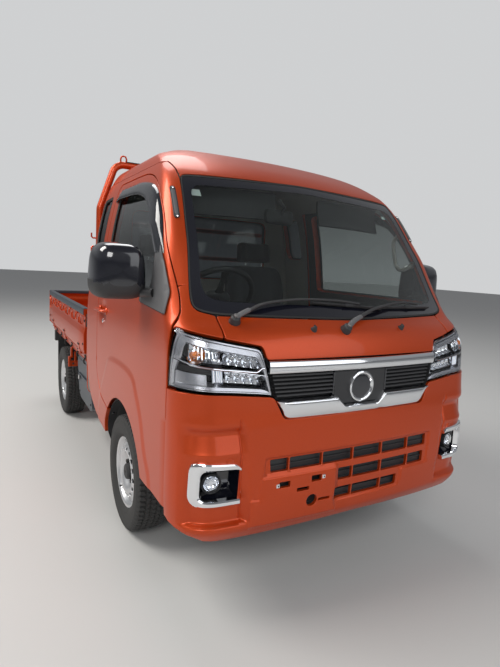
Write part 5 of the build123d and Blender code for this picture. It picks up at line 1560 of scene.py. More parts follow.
def disc_face(u, v):
    u, v = np.broadcast_arrays(np.atleast_1d(np.asarray(u, float)), np.atleast_1d(np.asarray(v, float)))
    return np.stack([DISC(np.hypot(u, v))[:, 0] + 6, u, v], 1)


vents = []
oval = ellipse(7.5, 12, 20)
for a in full_turn(16):
    c, q = math.cos(a), math.sin(a)
    vents.append(np.stack([111 * c + oval[:, 0] * c - oval[:, 1] * q,
        111 * q + oval[:, 0] * q + oval[:, 1] * c], 1))
disc_v, disc_f, _, _ = skin(disc_face, [ellipse(138, 138, 90)] + vents, step=7.5,
    profile=((0, 4), (0, 1.5), (0.5, 0.5), (1.5, 0)), inner=True)


def rim_mesh(front):
    w = Build()
    w.lathe((0, 0, 0), (1, 0, 0), RIM, "steel", 96, closed=True)
    w.add(disc_v, disc_f, "steel")
    w.lathe((34, 0, 0), (1, 0, 0), [(38, -10), (38, 10), (36, 19), (30, 24), (18, 25.5), (0, 26)] if front
        else [(36, -10), (36, 3), (32, 9), (25, 12), (0, 12.5)], "plastic", 40)
    w.lathe((59 if front else 46, 0, 0), (1, 0, 0), [(9, -2), (9, 1.5), (7, 2.5), (0, 2.5)], "plastic", 6)
    for c in round_about((0, 0), 50, NUTS):
        c = (28, *c)
        w.lathe(c, (1, 0, 0), [(13, 0), (12, 1), (10.5, 2), (10.5, 14), (8.5, 17), (0, 18)], "chassis", 6)
        w.lathe(c, (1, 0, 0), [(14, 0), (14, 1.6), (10, 2)], "steel", 18)
    valve = np.array([0, 141 * math.cos(-0.9), 141 * math.sin(-0.9)])
    w.tube([valve + [38, 0, 0], valve * 0.985 + [48, 0, 0], valve * 0.98 + [56, 0, 0]], [4, 3.5, 3.5],
        "rubber", 10)
    w.lathe(valve * 0.98 + [54, 0, 0], (1, 0, 0), [(4.2, 0), (4.2, 7), (3, 8), (0, 8)], "plastic", 10)
    w.box((52, -16, 150), (58, 16, 159), "engine", 2)
    if front:
        w.lathe((-18, 0, 0), (1, 0, 0), [(60, 0), (118, 0), (118, 10), (62, 10), (60, 26), (30, 26)],
            "engine", 64)
    else:
        w.lathe((-40, 0, 0), (1, 0, 0), [(40, -6), (118, -6), (121, 0), (121, 40), (112, 46), (40, 46)],
            "engine", 64)
    return w


tyre = tyre_mesh()
wheels = {True: rim_mesh(True), False: rim_mesh(False)}
for end, d, track in (("front", FRONT_AXLE, 652.5), ("rear", REAR_AXLE, 650.0)):
    for side, q in SIDES:
        for kind, source in (("tyre", tyre), ("rim", wheels[end == "front"])):
            source.copy(q, [q * track, d, AXLE_HEIGHT]).make(f"{kind}_{end}_{side}_detailed",
                f"{end}_{side}_wheel", replaces=f"{kind}_{end}_{side}", sharp=30)


def bolt(build, p, axis, r=8.0, look="chassis"):
    build.lathe(p, axis, [(r * 1.35, 0), (r * 1.35, 1.2), (r * 1.05, 1.6)], look, 14)
    build.lathe(p, axis, [(r, 0), (r, 0.55 * r), (r * 0.86, 0.7 * r), (0, 0.7 * r)], look, 6)


# Bed gates: a hollow sheet panel with a stamped hook channel, a guard strip on top and hinge barrels below
GATE = [(281, 3), (279, 0.8), (276, 0), (246, 0), (243, 1.5), (240, 8), (238, 9), (161, 9), (157, 8),
    (127, 1), (122, 0), (24, 0), (20, 0.8), (17, 3), (13, 3.4), (9, 3), (6, 1), (3, 0.4), (0.6, 2), (0, 5),
    (0, 27), (1, 31), (4, 32.5), (40, 32.5), (46, 29), (84, 29), (90, 32.5), (128, 32.5), (134, 29),
    (172, 29), (178, 32.5), (216, 32.5), (222, 29), (256, 29), (262, 32.5), (276, 32.5), (280, 31.5),
    (281, 28)]
STRIP = [(244, -0.4), (245, -2.2), (248, -2.8), (270, -2.8), (280, -2.4), (284, 0), (285, 4), (285, 29),
    (284, 33), (280, 34.6), (262, 35), (259, 34.6), (258, 32.8), (281.5, 32), (281.5, 0.5)]
# Rope loops and hooks in the channel: places along the gate, up, and inward
LOOP = [(-27, 175, 8), (-27, 178, 0), (-27, 182, -3.5), (-26, 205, -4), (-20, 218, -4), (-8, 223, -4)]
LOOP += [(-t, h, w) for t, h, w in LOOP[::-1]]
HOOK = [(0, 232, 9), (0, 228, 1), (0, 216, -3), (0, 200, -3.5), (4, 192, -3), (9, 190, 0)]


def gate(name, node_name, body, place, t0, t1, hinges):
    """A gate in its own measures: t along it, h up, w in from its outer face. place makes points of them."""
    g = Build()

    def at(t, h, w):
        return place(np.array([t], float), np.array([h], float), np.array([w], float))[0]

    def ring(outline, t, grow_by=0.0):
        q = np.array(outline, float)
        c = np.array([140.0, 16.0])
        q = q + (c - q) / np.linalg.norm(c - q, axis=1)[:, None] * grow_by
        return place(np.full(len(q), t), q[:, 0], q[:, 1])

    ts = [t0, t0 + 1.5] + list(np.linspace(t0 + 1.5, t1 - 1.5, 9)[1:-1]) + [t1 - 1.5, t1]
    g.block([ring(GATE, t, 1.5 if t in (t0, t1) else 0) for t in ts], "paint")
    g.block([ring(STRIP, t) for t in (t0 + 4, t1 - 4)], "strip")
    n = max(3, int((t1 - t0) / 235))
    for k in range(n):
        t = t0 + (t1 - t0) * (k + 0.5) / n
        g.tube([at(t + dt, h, w) for dt, h, w in LOOP], 4.6, "paint", 10)
        t2 = t + (t1 - t0) * 0.5 / n
        if k < n - 1:
            g.tube([at(t2 + dt, h, w) for dt, h, w in HOOK], 4, "paint", 8)
            g.tube([at(t2 - 14, 232, 7.5), at(t2 + 14, 232, 7.5)], 5, "paint", 8)
    for t in (t0 + 22, t1 - 22):
        for h in (60, 205):
            w = 0 if h < 100 else 9
            bolt(g, at(t, h, w), at(t, h, w) - at(t, h, w + 10), 7)
    for t in hinges:
        a, b = at(t - 30, -12, 9.5), at(t + 30, -12, 9.5)
        g.lathe(a, b - a, [(4.35, 0), (7.6, 0), (8.5, 1), (8.5, 59), (7.6, 60), (4.35, 60)], "paint", 20,
            closed=True)
        g.box(at(t - 29, -9, 1.5), at(t + 29, 2, 17.5), "paint", 1.2)
        g.box(at(t - 26, 6, -1.8), at(t + 26, 52, 1), "paint", 1.2)
        for t2 in (t - 16, t + 16):
            bolt(g, at(t2, 38, -1.8), at(t2, 38, -1.8) - at(t2, 38, 8), 6)
    g.make(name, body, replaces=node_name, sharp=35)


SIDE_HINGES = (1880.0, 2500.0, 3120.0)
TAIL_HINGES = (-520.0, 0.0, 520.0)
GATE_START, GATE_END = 1714.0, 3357.5
gate("side_gate_left_detailed", "side_gate_left", "left_gate",
     lambda t, h, w: np.stack([HALF - w, t, GATE_FOOT + h], 1), GATE_START, GATE_END, SIDE_HINGES)
gate("side_gate_right_detailed", "side_gate_right", "right_gate",
     lambda t, h, w: np.stack([w - HALF, GATE_START + GATE_END - t, GATE_FOOT + h], 1),
     GATE_START, GATE_END, [GATE_START + GATE_END - t for t in SIDE_HINGES])
gate("tail_gate_detailed", "tail_gate", "rear_gate",
     lambda t, h, w: np.stack([-t, LENGTH - w, GATE_FOOT + h], 1), -HALF, HALF, TAIL_HINGES)


# Seats: crowned cushions, backs and head restraints with sewn channels, all from one grown form
def pad(name, centre, size, lean, channels=(), crown=16.0, pinch=7.0, waist=0.0):
    """A stuffed closed form. size is its width, thickness and height; channels are the heights of its seams,
    from -1 to 1."""
    lat, lon = ((72, 112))
    v, u = np.meshgrid(np.linspace(-math.pi / 2, math.pi / 2, lat),
        np.linspace(-math.pi, math.pi, lon, endpoint=False), indexing="ij")
    sq = lambda q, e: np.sign(q) * np.abs(q) ** e
    x, y, z = (sq(np.cos(v), 0.34) * sq(np.cos(u), 0.34), sq(np.cos(v), 0.34) * sq(np.sin(u), 0.34),
        sq(np.sin(v), 0.34))
    w, t, h = (q / 2 for q in size)
    dome = np.clip(1 - x ** 2, 0, 1) * np.clip(1 - z ** 2, 0, 1)
    X = x * (w - pinch * (1 - z ** 2) * (1 - 0.3 * x ** 2) - waist * np.clip(z, 0, 1) ** 2)
    Z = z * (h - pinch * (1 - x ** 2))
    bolster = 9.0 * np.exp(-((np.abs(x) - 0.78) / 0.16) ** 2) * np.clip(1.15 - np.abs(z), 0, 1)
    Y = y * (t - 4) - np.where(y < 0, crown * dome ** 0.6 * 0.5 + bolster, -crown * 0.3 * dome)
    groove = sum(np.exp(-((z - c) / 0.022) ** 2) for c in channels) if channels else 0 * z
    ribs = np.exp(-((np.abs(x) - 0.56) / 0.018) ** 2) * (np.abs(z) < 0.9)
    welt = np.exp(-((np.abs(y) - 0.93) / 0.05) ** 2) * 2.0
    front = np.clip(-y, 0, 1)
    Y += front * (5.5 * groove * (np.abs(x) < 0.56) + 5.0 * ribs)
    puff = 1 + 0.004 * np.sin(7 * u + 3 * v) * np.cos(5 * v)
    P = np.stack([X * puff + np.sign(x) * welt, Y, Z * puff], -1).reshape(-1, 3)
    c, q = math.cos(lean), math.sin(lean)
    P = np.stack([P[:, 0], P[:, 1] * c + P[:, 2] * q, -P[:, 1] * q + P[:, 2] * c], 1) + centre
    o = piece(name, P, quads(lat, lon), "fabric", sharp=180)


for side, q in SIDES:
    x = 335.0 * q
    pad(f"seat_cushion_{side}", np.array([x, 1138, 760.0]), (448, 104, 452), -math.pi / 2 + 0.03,
        (-0.45, 0.05, 0.5), crown=20, pinch=6)
    pad(f"seat_back_{side}", np.array([x, 1470, 1020.0]), (446, 78, 500), 0.195, (-0.5, -0.1, 0.3), crown=18,
        pinch=8, waist=26)
    pad(f"head_restraint_{side}", np.array([x, 1528, 1352.0]), (252, 62, 142), 0.12, (), crown=12, pinch=9,
        waist=8)
    frame_b = Build()
    for dx in (-62, 62):
        frame_b.tube([(x + dx, 1521, 1245), (x + dx, 1530, 1310)], 6.5, "chrome", 14)
        frame_b.lathe((x + dx, 1519, 1250), (0, 0.12, 1), [(15, 0), (15, 10), (11, 13), (6.5, 13)],
            "plastic", 18)
    for dx in (-205, 205):
        frame_b.box((x + dx - 14, 985, 700), (x + dx + 14, 1300, 712), "chassis", 3)
        frame_b.box((x + dx - 6, 960, 700), (x + dx + 6, 1330, 706), "engine", 1.5)
    side_x = x + q * 226
    frame_b.box((side_x - 7, 1330, 716), (side_x + 7, 1440, 850), "plastic", 6)
    frame_b.lathe((side_x + 7 * q, 1386, 800), (q, 0, 0), [(24, 0), (24, 4), (20, 6), (0, 6)], "plastic", 24)
    frame_b.tube([(side_x + 9 * q, 1300, 738), (side_x + 12 * q, 1250, 744), (side_x + 12 * q, 1190, 742)],
        [9, 8, 7], "plastic", 12)
    buckle = x - q * 236
    frame_b.tube([(buckle, 1350, 720), (buckle, 1335, 770), (buckle, 1320, 812)], 7, "plastic", 10)
    frame_b.box((buckle - 12, 1300, 800), (buckle + 12, 1330, 858), "plastic", 5)
    frame_b.box((buckle - 8, 1303, 856), (buckle + 8, 1327, 862), "red", 2)
    frame_b.make(f"seat_frame_{side}", replaces="seats" if q == 1 else ())

# Dashboard: a rounded body, instrument hood, vents, audio panel, glove box, shelf and column shroud
DASH = rounded([(192, 806, 10), (386, 806, 30), (458, 900, 30), (474, 984, 26), (428, 1036, 34),
    (238, 1046, 20), (192, 998, 20)], step=10)


def dash_ring(x, out=0.0):
    r = shifted(leftward(DASH), out)
    shelf = (38 * np.exp(-(((r[:, 1] - 925) / 26) ** 2)) * (1 if 60 < x < 590 else 0)
        * np.clip(min(abs(x - 60), abs(590 - x)) / 14, 0, 1) * (r[:, 0] > 400))
    depth = 0 if abs(x) < 560 else (abs(x) - 560) * 0.25
    return np.stack([np.full(len(r), x),
        np.maximum(r[:, 0] - shelf - depth * (r[:, 0] > 330), 192 + max(0, abs(x) - 380) * 0.24),
        r[:, 1]], 1)


dash = Build()
xs = ([-604, -602, -598, -560, -520, -480] + list(range(-440, 60, 40)) + [59, 62, 68, 74, 80]
    + list(range(120, 560, 40)) + [570, 576, 582, 588, 591, 598, 602, 604])
rows = [dash_ring(x, 4 if abs(x) > 603 else (1 if abs(x) > 601 else 0)) for x in xs]
dash.block(rows, "dash")
hood = []
for x, k in zip(np.linspace(-500, -170, 17), np.sin(np.linspace(0.12, math.pi - 0.12, 17)) ** 0.35):
    hood.append([(x, 330, 1040), (x, 350, 1044 + 40 * k), (x, 420, 1048 + 46 * k), (x, 466, 1040 + 42 * k),
        (x, 470, 1034 + 38 * k), (x, 462, 1030 + 34 * k), (x, 420, 1034 + 34 * k), (x, 400, 1026)])
dash.sweep(hood, "dash")
dash.cap(hood[0], "dash")
dash.cap(hood[-1], "dash", True)
face = np.array([0.0, 0.88, 0.47])


def dial_way(degrees):
    """A direction in the face of a dial."""
    a = math.radians(degrees)
    return np.array([math.cos(a), 0, 0]) - np.cross(face, [1.0, 0, 0]) * math.sin(a)


for x, r in ((-405, 34), (-335, 46), (-265, 34)):
    c = np.array([x, 432.0, 1052.0])
    dash.lathe(c, face, [(0, 0), (r - 3, 0), (r - 2, 3), (r, 4), (r + 2, 2), (r + 2, -6)], "gloss", 36)
    dash.lathe(c + face * 0.6, face, [(r - 9, 0.2), (r - 7, 0.8), (r - 6, 0.2)], "satin", 36)
    # The dial ticks glow in the lamps' white: painted light on printed marks
    for degrees in range(-210, 31, 24):
        w = dial_way(degrees)
        dash.tube([c + face + w * (r - 14), c + face + w * (r - 10)], 0.8, "lamp_and_painted_glow", 6)
    dash.tube([c + face * 1.5, c + face * 1.5 + dial_way(-150) * (r - 14)], [1.6, 0.6], "red", 6)
    dash.lathe(c, face, [(5, 0), (5, 3), (0, 4)], "plastic", 14)


def vent(x, z, w, h):
    y = 474 - abs(z - 984) * 0.1
    dash.box((x - w, y - 16, z - h), (x + w, y + 3, z + h), "gloss", 4)
    for k in range(4):
        zz = z - h * 0.62 + k * h * 0.41
        dash.box((x - w * 0.86, y - 2, zz - 1.2), (x + w * 0.86, y + 6, zz + 1.2), "plastic", 1)
    dash.box((x - 5, y, z - h * 0.7), (x + 5, y + 9, z + h * 0.7), "plastic", 2)
    ring = rounded([(x - w, z - h), (x + w, z - h), (x + w, z + h), (x - w, z + h)], cut=7, step=6)
    dash.tube([(px, y + 3, pz) for px, pz in ring], 2.2, "satin", 8, closed=True)


for x in (-560, -108, 108, 560):
    vent(x, 972, 44, 22)
dash.box((-78, 458, 880), (78, 480, 1010), "gloss", 5)
dash.box((-70, 478, 932), (70, 483, 1000), "gloss", 2)
dash.box((-66, 482, 936), (66, 484.5, 996), "dark_glass", 1)
for x in (-48, 0, 48):
    dash.lathe((x, 479, 903), (0, 1, 0), [(17, 0), (17, 3), (15, 4), (14, 16), (12, 18), (0, 18)], "plastic",
        28)
    # The knob's index mark glows in the lamps' white: painted light on a printed mark
    dash.box((x - 1.2, 495, 906), (x + 1.2, 498, 918), "lamp_and_painted_glow", 0.4)
dash.box((150, 420, 826), (520, 452, 896), "dash", 8, tip=-0.5)
dash.box((305, 446, 868), (365, 462, 884), "plastic", 4)
shaft = np.array([0, math.sin(math.radians(50)), math.cos(math.radians(50))])
top = np.array([-335, 695, 1100.0])
dash.tube([top - shaft * 64, top - shaft * 84, top - shaft * 150, top - shaft * 260, top - shaft * 330],
    [50, 56, 54, 46, 40], "plastic", 28, squash=40)
for q in (-1, 1):
    base = top - shaft * 96 + np.array([q * 50, 0, 4])
    dash.tube([base, base + [q * 40, 4, 8], base + [q * 92, 10, 14], base + [q * 126, 12, 16]],
        [6, 5, 5.5, 8], "plastic", 12, squash=5)
    dash.lathe(base + [q * 126, 12, 16], (q, 0.1, 0.1), [(8, -14), (9, -12), (9, 0), (6, 3), (0, 3)],
        "plastic", 16)
dash.lathe(top - shaft * 150 + np.array([54, 6, -6]), (1, 0.2, 0), [(14, 0), (14, 6), (10, 8), (0, 8)],
    "satin", 20)
dash.box((-610, 200, 1040), (610, 214, 1050), "dash", 4)
dash.make("dashboard_detailed", replaces="dashboard", sharp=35)

# Steering wheel: padded hub, three shaped spokes and a grained rim, on its own body
wheel_b = Build()
e1 = np.array([1.0, 0, 0])
e2 = np.cross(shaft, e1)
ang = full_turn(96)
wheel_b.tube([top + e1 * a + e2 * b for a, b in ellipse(185, 185, 96)],
    13.2 + 0.8 * np.cos(ang * 24) * (np.abs(np.sin(ang)) < 0.5), "plastic", 18, closed=True)
rows = []
for h, k in ((-34, 0.55), (-30, 0.8), (-16, 0.98), (-4, 1.0), (4, 0.93), (9, 0.75), (12, 0.45), (13, 0.02)):
    row = []
    for a in full_turn(48):
        r = k * (64 + 8 * abs(math.cos(a)) ** 3)
        row.append(top + shaft * h + r * (math.cos(a) * e1 * 1.08 + math.sin(a) * e2 * 0.92))
    rows.append(np.array(row))
wheel_b.sweep(rows, "dash")
wheel_b.cap(rows[0], "dash", True)
for a in (0.18, math.pi - 0.18, math.pi * 1.5):
    w = math.cos(a) * e1 + math.sin(a) * e2
    side_w = np.cross(shaft, w)
    n = 9
    pts = [top - shaft * (14 - 12 * t) + w * (52 + 128 * t) for t in np.linspace(0, 1, n)]
    rows = []
    for p0, t in zip(pts, np.linspace(0, 1, n)):
        half = 22 - 8 * math.sin(math.pi * min(t * 1.2, 1)) + (4 if t > 0.9 else 0)
        rows.append([p0 + side_w * b + shaft * c for b, c in ellipse(half, 7, 16)])
    wheel_b.sweep(rows, "plastic")
    wheel_b.tube([pts[2] + shaft * 7.5, pts[6] + shaft * 7.5], 3.2, "satin", 10)
wheel_b.lathe(top - shaft * 92, shaft, [(11.4, 0), (11.4, 62), (30, 64), (30, 60), (16, 58), (11.4, 40)],
    "engine", 24)
wheel_b.make("steering_wheel_detailed", "steering", replaces="steering_wheel", sharp=40)

# Cab fittings: inner mirror, sun visors, assist grips, mats, pedals, levers, blank stickers and door linings
cabin = Build()
c = on_cab(-138, 1516, -64)
ring = rounded([(-86, -30), (86, -30), (90, 0), (84, 32), (-84, 32), (-90, 0)], cut=22, step=8)
yaw = 0.25
rows = []
for off, y in ((0.9, 8), (1.0, 5), (1.0, -8), (0.96, -14), (0.7, -20), (0.02, -22)):
    rows.append(np.array([c + [px * off * math.cos(yaw), y + px * off * math.sin(yaw), pz * off]
        for px, pz in ring]))
cabin.sweep(rows, "plastic")
cabin.cap(rows[0] + [0, 0.5, 0], "mirror")
cabin.tube([c + [0, -14, 10], c + [8, -30, 40], on_cab(-140, 1560, -16)], [8, 7, 9], "plastic", 12)
for q in (-1, 1):
    pts = np.array([on_cab(q * (120 + 400 * u), 1606 - 6 * u * u, -26) for u in np.linspace(0, 1, 13)])
    rows = []
    for drop, back in ((0, 0), (-4, 10), (-50, 8), (-118, -16), (-122, -12), (-118, -6), (-50, 20), (-6, 22)):
        rows.append(pts + np.array([0, back + 12, drop]))
    cabin.block([np.array([r[k] for r in rows]) for k in range(13)], "dash")
grip = np.array([(606, 500, 1456), (580, 505, 1440), (568, 490, 1400), (560, 462, 1330), (560, 446, 1290),
    (566, 420, 1276), (584, 395, 1292), (604, 384, 1309)], float)
for q in (1, -1):
    path = even(np.concatenate([grip[:1], (grip[:-1] + grip[1:]) / 2, grip[-1:]]), 30) * [q, 1, 1]
    cabin.tube(path, 10, "beige" if q == 1 else "dash", 14, squash=8)
    for e in (path[0], path[-1]):
        cabin.lathe(e, (q, -0.4, 0), [(17, -8), (17, 2), (13, 6), (0, 6)], "beige" if q == 1 else "dash", 18)
for q in (-1, 1):
    cabin.box((q * 70, 500, 431), (q * 374, 845, 438), "mat", 5)
    for k in range(7):
        cabin.box((q * 100, 540 + 40 * k, 437.5), (q * 346, 552 + 40 * k, 441), "rubber", 1.5)
for x, w in ((-290, 30), (-395, 38)):
    cabin.tube([(x, 250, 760), (x, 320, 640), (x, 400, 560)], [9, 8, 8], "chassis", 10)
    cabin.box((x - w, 396, 528), (x + w, 412, 590), "rubber", 5, tip=0.5)
cabin.lathe((40, 760, 432), (0, 0.1, 1), [(66, 0), (60, 12), (36, 46), (20, 70), (16, 110), (0, 110)],
    "rubber", 32)
cabin.tube([(40, 768, 520), (40, 760, 640), (36, 742, 742)], [9, 8, 7], "satin", 12)
cabin.lathe((36, 741, 735), (-0.05, -0.15, 1), [(8, -4), (16, 0), (23, 14), (25, 28), (20, 44), (10, 51),
    (0, 52)], "plastic", 28)
cabin.box((-22, 960, 702), (30, 1190, 726), "plastic", 8)
cabin.tube([(-40, 1150, 716), (-40, 1060, 742), (-40, 940, 792)], [12, 10, 11], "plastic", 14)
cabin.lathe((-40, 940, 792), (0, -1, 0.4), [(8, -4), (9, 4), (6, 8), (0, 8)], "satin", 14)
cabin.make("cabin_fittings", sharp=40)
sticker = Build()
for x0, x1, z0, z1 in ((-548, -510, 1530, 1557), (468, 494, 1530, 1545)):
    q = [on_cab(x, z, -4.2) for x, z in ((x0, z0), (x1, z0), (x1, z1), (x0, z1))]
    sticker.add([*q, *[p + [0, -0.6, -0.4] for p in q]], [(0, 1, 2, 3), (7, 6, 5, 4), (0, 4, 5, 1),
        (1, 5, 6, 2), (2, 6, 7, 3), (3, 7, 4, 0)], "label")
sticker.make("blank_stickers")
for side, q in SIDES:
    trim = Build()
    ring = rounded([(420, 712), (1290, 712), (1300, 1060), (1180, 1085), (420, 1085), (400, 1000)], cut=40,
        step=30)
    pts = [np.array([on_side(d, z, -46)[0], d, z]) for d, z in ring]
    inner = [p - [9, 0, 0] for p in pts]
    face = scaled(inner, 0.94) - [5, 0, 0]
    trim.sweep([pts, inner, face], "dash")
    trim.cap(face, "dash", True)
    trim.box((648, 760, 905), (684, 1150, 948), "dash", 12)
    trim.box((640, 800, 948), (672, 1010, 953), "fabric", 2)
    trim.tube([(676, 1060, 960), (660, 1080, 985), (660, 1140, 1010), (676, 1165, 1020)], 8, "plastic", 12)
    trim.lathe((682, 905, 830), (-1, 0, 0), [(20, 0), (20, 6), (14, 9), (0, 9)], "plastic", 24)
    trim.tube([(674, 905, 830), (670, 940, 800), (668, 958, 785)], [7, 6, 8], "plastic", 12)
    trim.box((660, 470, 714), (684, 950, 780), "dash", 10)
    trim.lathe((690, 1040, 786), (-1, 0, 0), [(62, 28), (58, 31), (0, 33)], "plastic", 40)
    trim.copy(q).make(f"door_trim_{side}", f"{side}_door", sharp=40)


# Bed: ribbed deck, beaded front wall, rope hooks, gate latches, rubber strips and side brackets
bed = Build()
xs, hs = [], []
for x in np.arange(-672, 673, 56.0):
    for dx, h in ((-17, 0.6), (-12, 3.2), (12, 3.2), (17, 0.6)):
        xs.append(x + dx)
        hs.append(h)
rows = [np.stack([xs, np.full(len(xs), d), 660 + np.array(hs) * k], 1)
    for d, k in ((1716, 0.1), (1728, 1), (3340, 1), (3352, 0.1))]
bed.sweep(rows, "paint", closed_ring=False)
for x in (-560, -280, 0, 280, 560):
    for d in np.arange(1790, 3340, 290.0):
        bolt(bed, (x, d, 660.5), (0, 0, 1), 5, "engine")
for h in (720, 780, 840, 900):
    ring = rounded([(-640, h - 13), (640, h - 13), (640, h + 13), (-640, h + 13)], cut=13, step=12)
    bed.sweep([np.array([(x * k, 1710.2 + y, h + (z - h) * k2) for x, z in ring])
        for k, k2, y in ((1, 1, 0), (0.996, 0.75, 3.5), (0.99, 0.25, 4.5))], "paint")
    bed.cap([(x * 0.99, 1714.7, h + (z - h) * 0.25) for x, z in ring], "paint")
for q in (-1, 1):
    bed.box((q * 672, 1682, 930), (q * 703, 1708, 1002), "paint", 3)
    bed.box((q * 690, 1694, 850), (q * 704.5, 1708, 930), "chassis", 2)
    bed.lathe((q * 706, 1694, 905), (q, 0, 0), [(13, -4), (13, 14), (10, 18), (0, 18)], "chassis", 18)
    bed.tube([(q * 716, 1694, 905), (q * 720, 1690, 880), (q * 722, 1688, 838)], [7, 6, 7], "chassis", 12)
    for d in np.arange(1800, 3330, 262.0):
        y = d + 42
        hook = [(q * x, y, z) for x, z in ((698, 616), (708, 610), (713, 596), (711, 580), (703, 572))]
        bed.tube(hook, [5, 5, 5, 5, 4.4], "chassis", 10)
        bed.box((q * 700, y - 20, 600), (q * 704, y + 20, 634), "chassis", 1.5)
        bolt(bed, (q * 704, y - 12, 625), (q, 0, 0), 4.5)
        bolt(bed, (q * 704, y + 12, 625), (q, 0, 0), 4.5)
    bed.box((q * 701, 1712, 598), (q * 705, 3356, 604), "paint", 1.5)
    bed.box((q * 612, 2326, 455), (q * 734, 2336, 498), "paint", 3)
    bed.box((q * 715, 2322, 455), (q * 734, 2342, 532), "paint", 4)
    bed.box((q * 702, 2323, 520), (q * 717, 2341, 600), "paint", 3)
    bed.box((q * 676, 2324, 480), (q * 692, 2336, 566), "paint", 3)
    bed.box((q * 612, 2324, 455), (q * 628, 2340, 600), "paint", 3)
    bolt(bed, (q * 700, 2326, 476), (0, -1, 0), 6)
    bolt(bed, (q * 644, 2326, 476), (0, -1, 0), 6)
for q in (-1, 1):
    bed.box((q * 697, 1716, 650), (q * 712, 3352, 656), "rubber", 1.5)
bed.box((-698, 3350, 650), (698, 3368, 656), "rubber", 1.5)
bed.make("bed_fittings", sharp=35)

# Bed guard: end flanges, loops on top, hooks at the sides and a guard strip
guard = Build()
gy = 1701.0
for q in (-1, 1):
    for z in (1120, 1300, 1480):
        guard.lathe((q * 650, gy, z), (q, 0, 0), [(13.2, -8), (18, 2), (20, 12), (13, 12)], "paint", 20)
    half_loop = [(16, -6, 1840), (18, -9, 1862), (12, -10, 1877), (0, -10, 1880)]
    loop = half_loop + [(-x, d, z) for x, d, z in half_loop[-2::-1]]
    guard.tube([(q * (515 + x), gy + d, z) for x, d, z in loop], 5, "paint", 10)
    guard.box((q * 640, gy - 16, 666), (q * 670, gy + 9, 700), "paint", 3)
    bolt(guard, (q * 655, gy + 9, 684), (0, 1, 0), 6)
    for z, up in ((1380, 1), (1330, -1)):
        hook = [(q * 672, gy, z), (q * 690, gy, z), (q * 698, gy, z + 8 * up), (q * 698, gy, z + 30 * up)]
        guard.tube(hook, [5, 5, 5, 4.5], "paint", 10)
guard.tube([(x, gy - 2, 1848.5) for x in np.linspace(-500, 500, 24)], 14, "strip", 14, squash=4)
guard.make("guard_fittings")

# Tail lamps: housing, red, amber and clear lenses with ribs, screws and round reflectors
lamps = Build()
for q in (-1, 1):
    x0, x1 = q * 482, q * 699
    lamps.box((x0, 3301, 491), (x1, 3346, 589), "plastic", 5)
    edges = [(0.0, 0.40, "red"), (0.42, 0.70, "amber"), (0.72, 1.0, "lens")]
    for a0, a1, look in edges:
        b0, b1 = x1 + (x0 - x1) * a0, x1 + (x0 - x1) * a1
        lo, hi = min(b0, b1) + 3, max(b0, b1) - 3
        ring = rounded([(lo, 496), (hi, 496), (hi, 584), (lo, 584)], cut=9, step=5)
        dome = ((1, 0), (1, 15), (0.98, 19), (0.92, 21), (0.5, 22), (0.01, 22.3))
        lamps.sweep([[(x, 3342 + y, z) for x, z in scaled(ring, k)[::-1]] for k, y in dome], look)
        for z in np.arange(506, 580, 9.0):
            lamps.box((lo + 5, 3361, z - 1.4), (hi - 5, 3364.4, z + 1.4), look, 1.2)
    for x in (x0 + q * 6, x1 - q * 6):
        bolt(lamps, (x, 3346, 502), (0, 1, 0), 4, "engine")
    lamps.box((q * 482, 3326, 588), (q * 520, 3348, 599), "chassis", 2)
    lamps.lathe((q * 430, 3366, 470), (0, 1, 0), [(24, -4), (26, 0), (26, 5), (22, 7), (0, 7)], "red", 28)
lamps.make("tail_lamps_detailed", replaces="tail_lamps")

# Rear bar: bracket for a number plate, its two lights, and a tow hook
rear = Build()
rear.box((-200, 3366, 398), (200, 3369, 486), "plastic", 3)
for x in (-105, 105):
    rear.lathe((x, 3365, 442), (0, 1, 0), [(3.6, 0), (3.6, 5.2), (9, 5.6), (9, 3.6)], "engine", 18,
        closed=True)
for q in (-1, 1):
    rear.box((q * 60, 3350, 500), (q * 24, 3376, 522), "plastic", 4)
    rear.box((q * 56, 3352, 497), (q * 28, 3374, 501), "lamp_and_painted_glow", 1)
    for z in (412, 470):
        bolt(rear, (q * 345, 3365, z), (0, 1, 0), 8)
    rear.tube([(q * 455, 3352, 402), (q * 455, 3352, 480)], 9, "chassis", 12)
rear.box((-62, 3345, 480), (62, 3360, 504), "plastic", 3)
rear.tube([(300, 3350, 396), (300, 3350, 372), (306, 3352, 360), (318, 3354, 356), (330, 3352, 362),
    (334, 3350, 376), (334, 3350, 396)], 8, "chassis", 12)
rear.make("rear_bar_fittings")

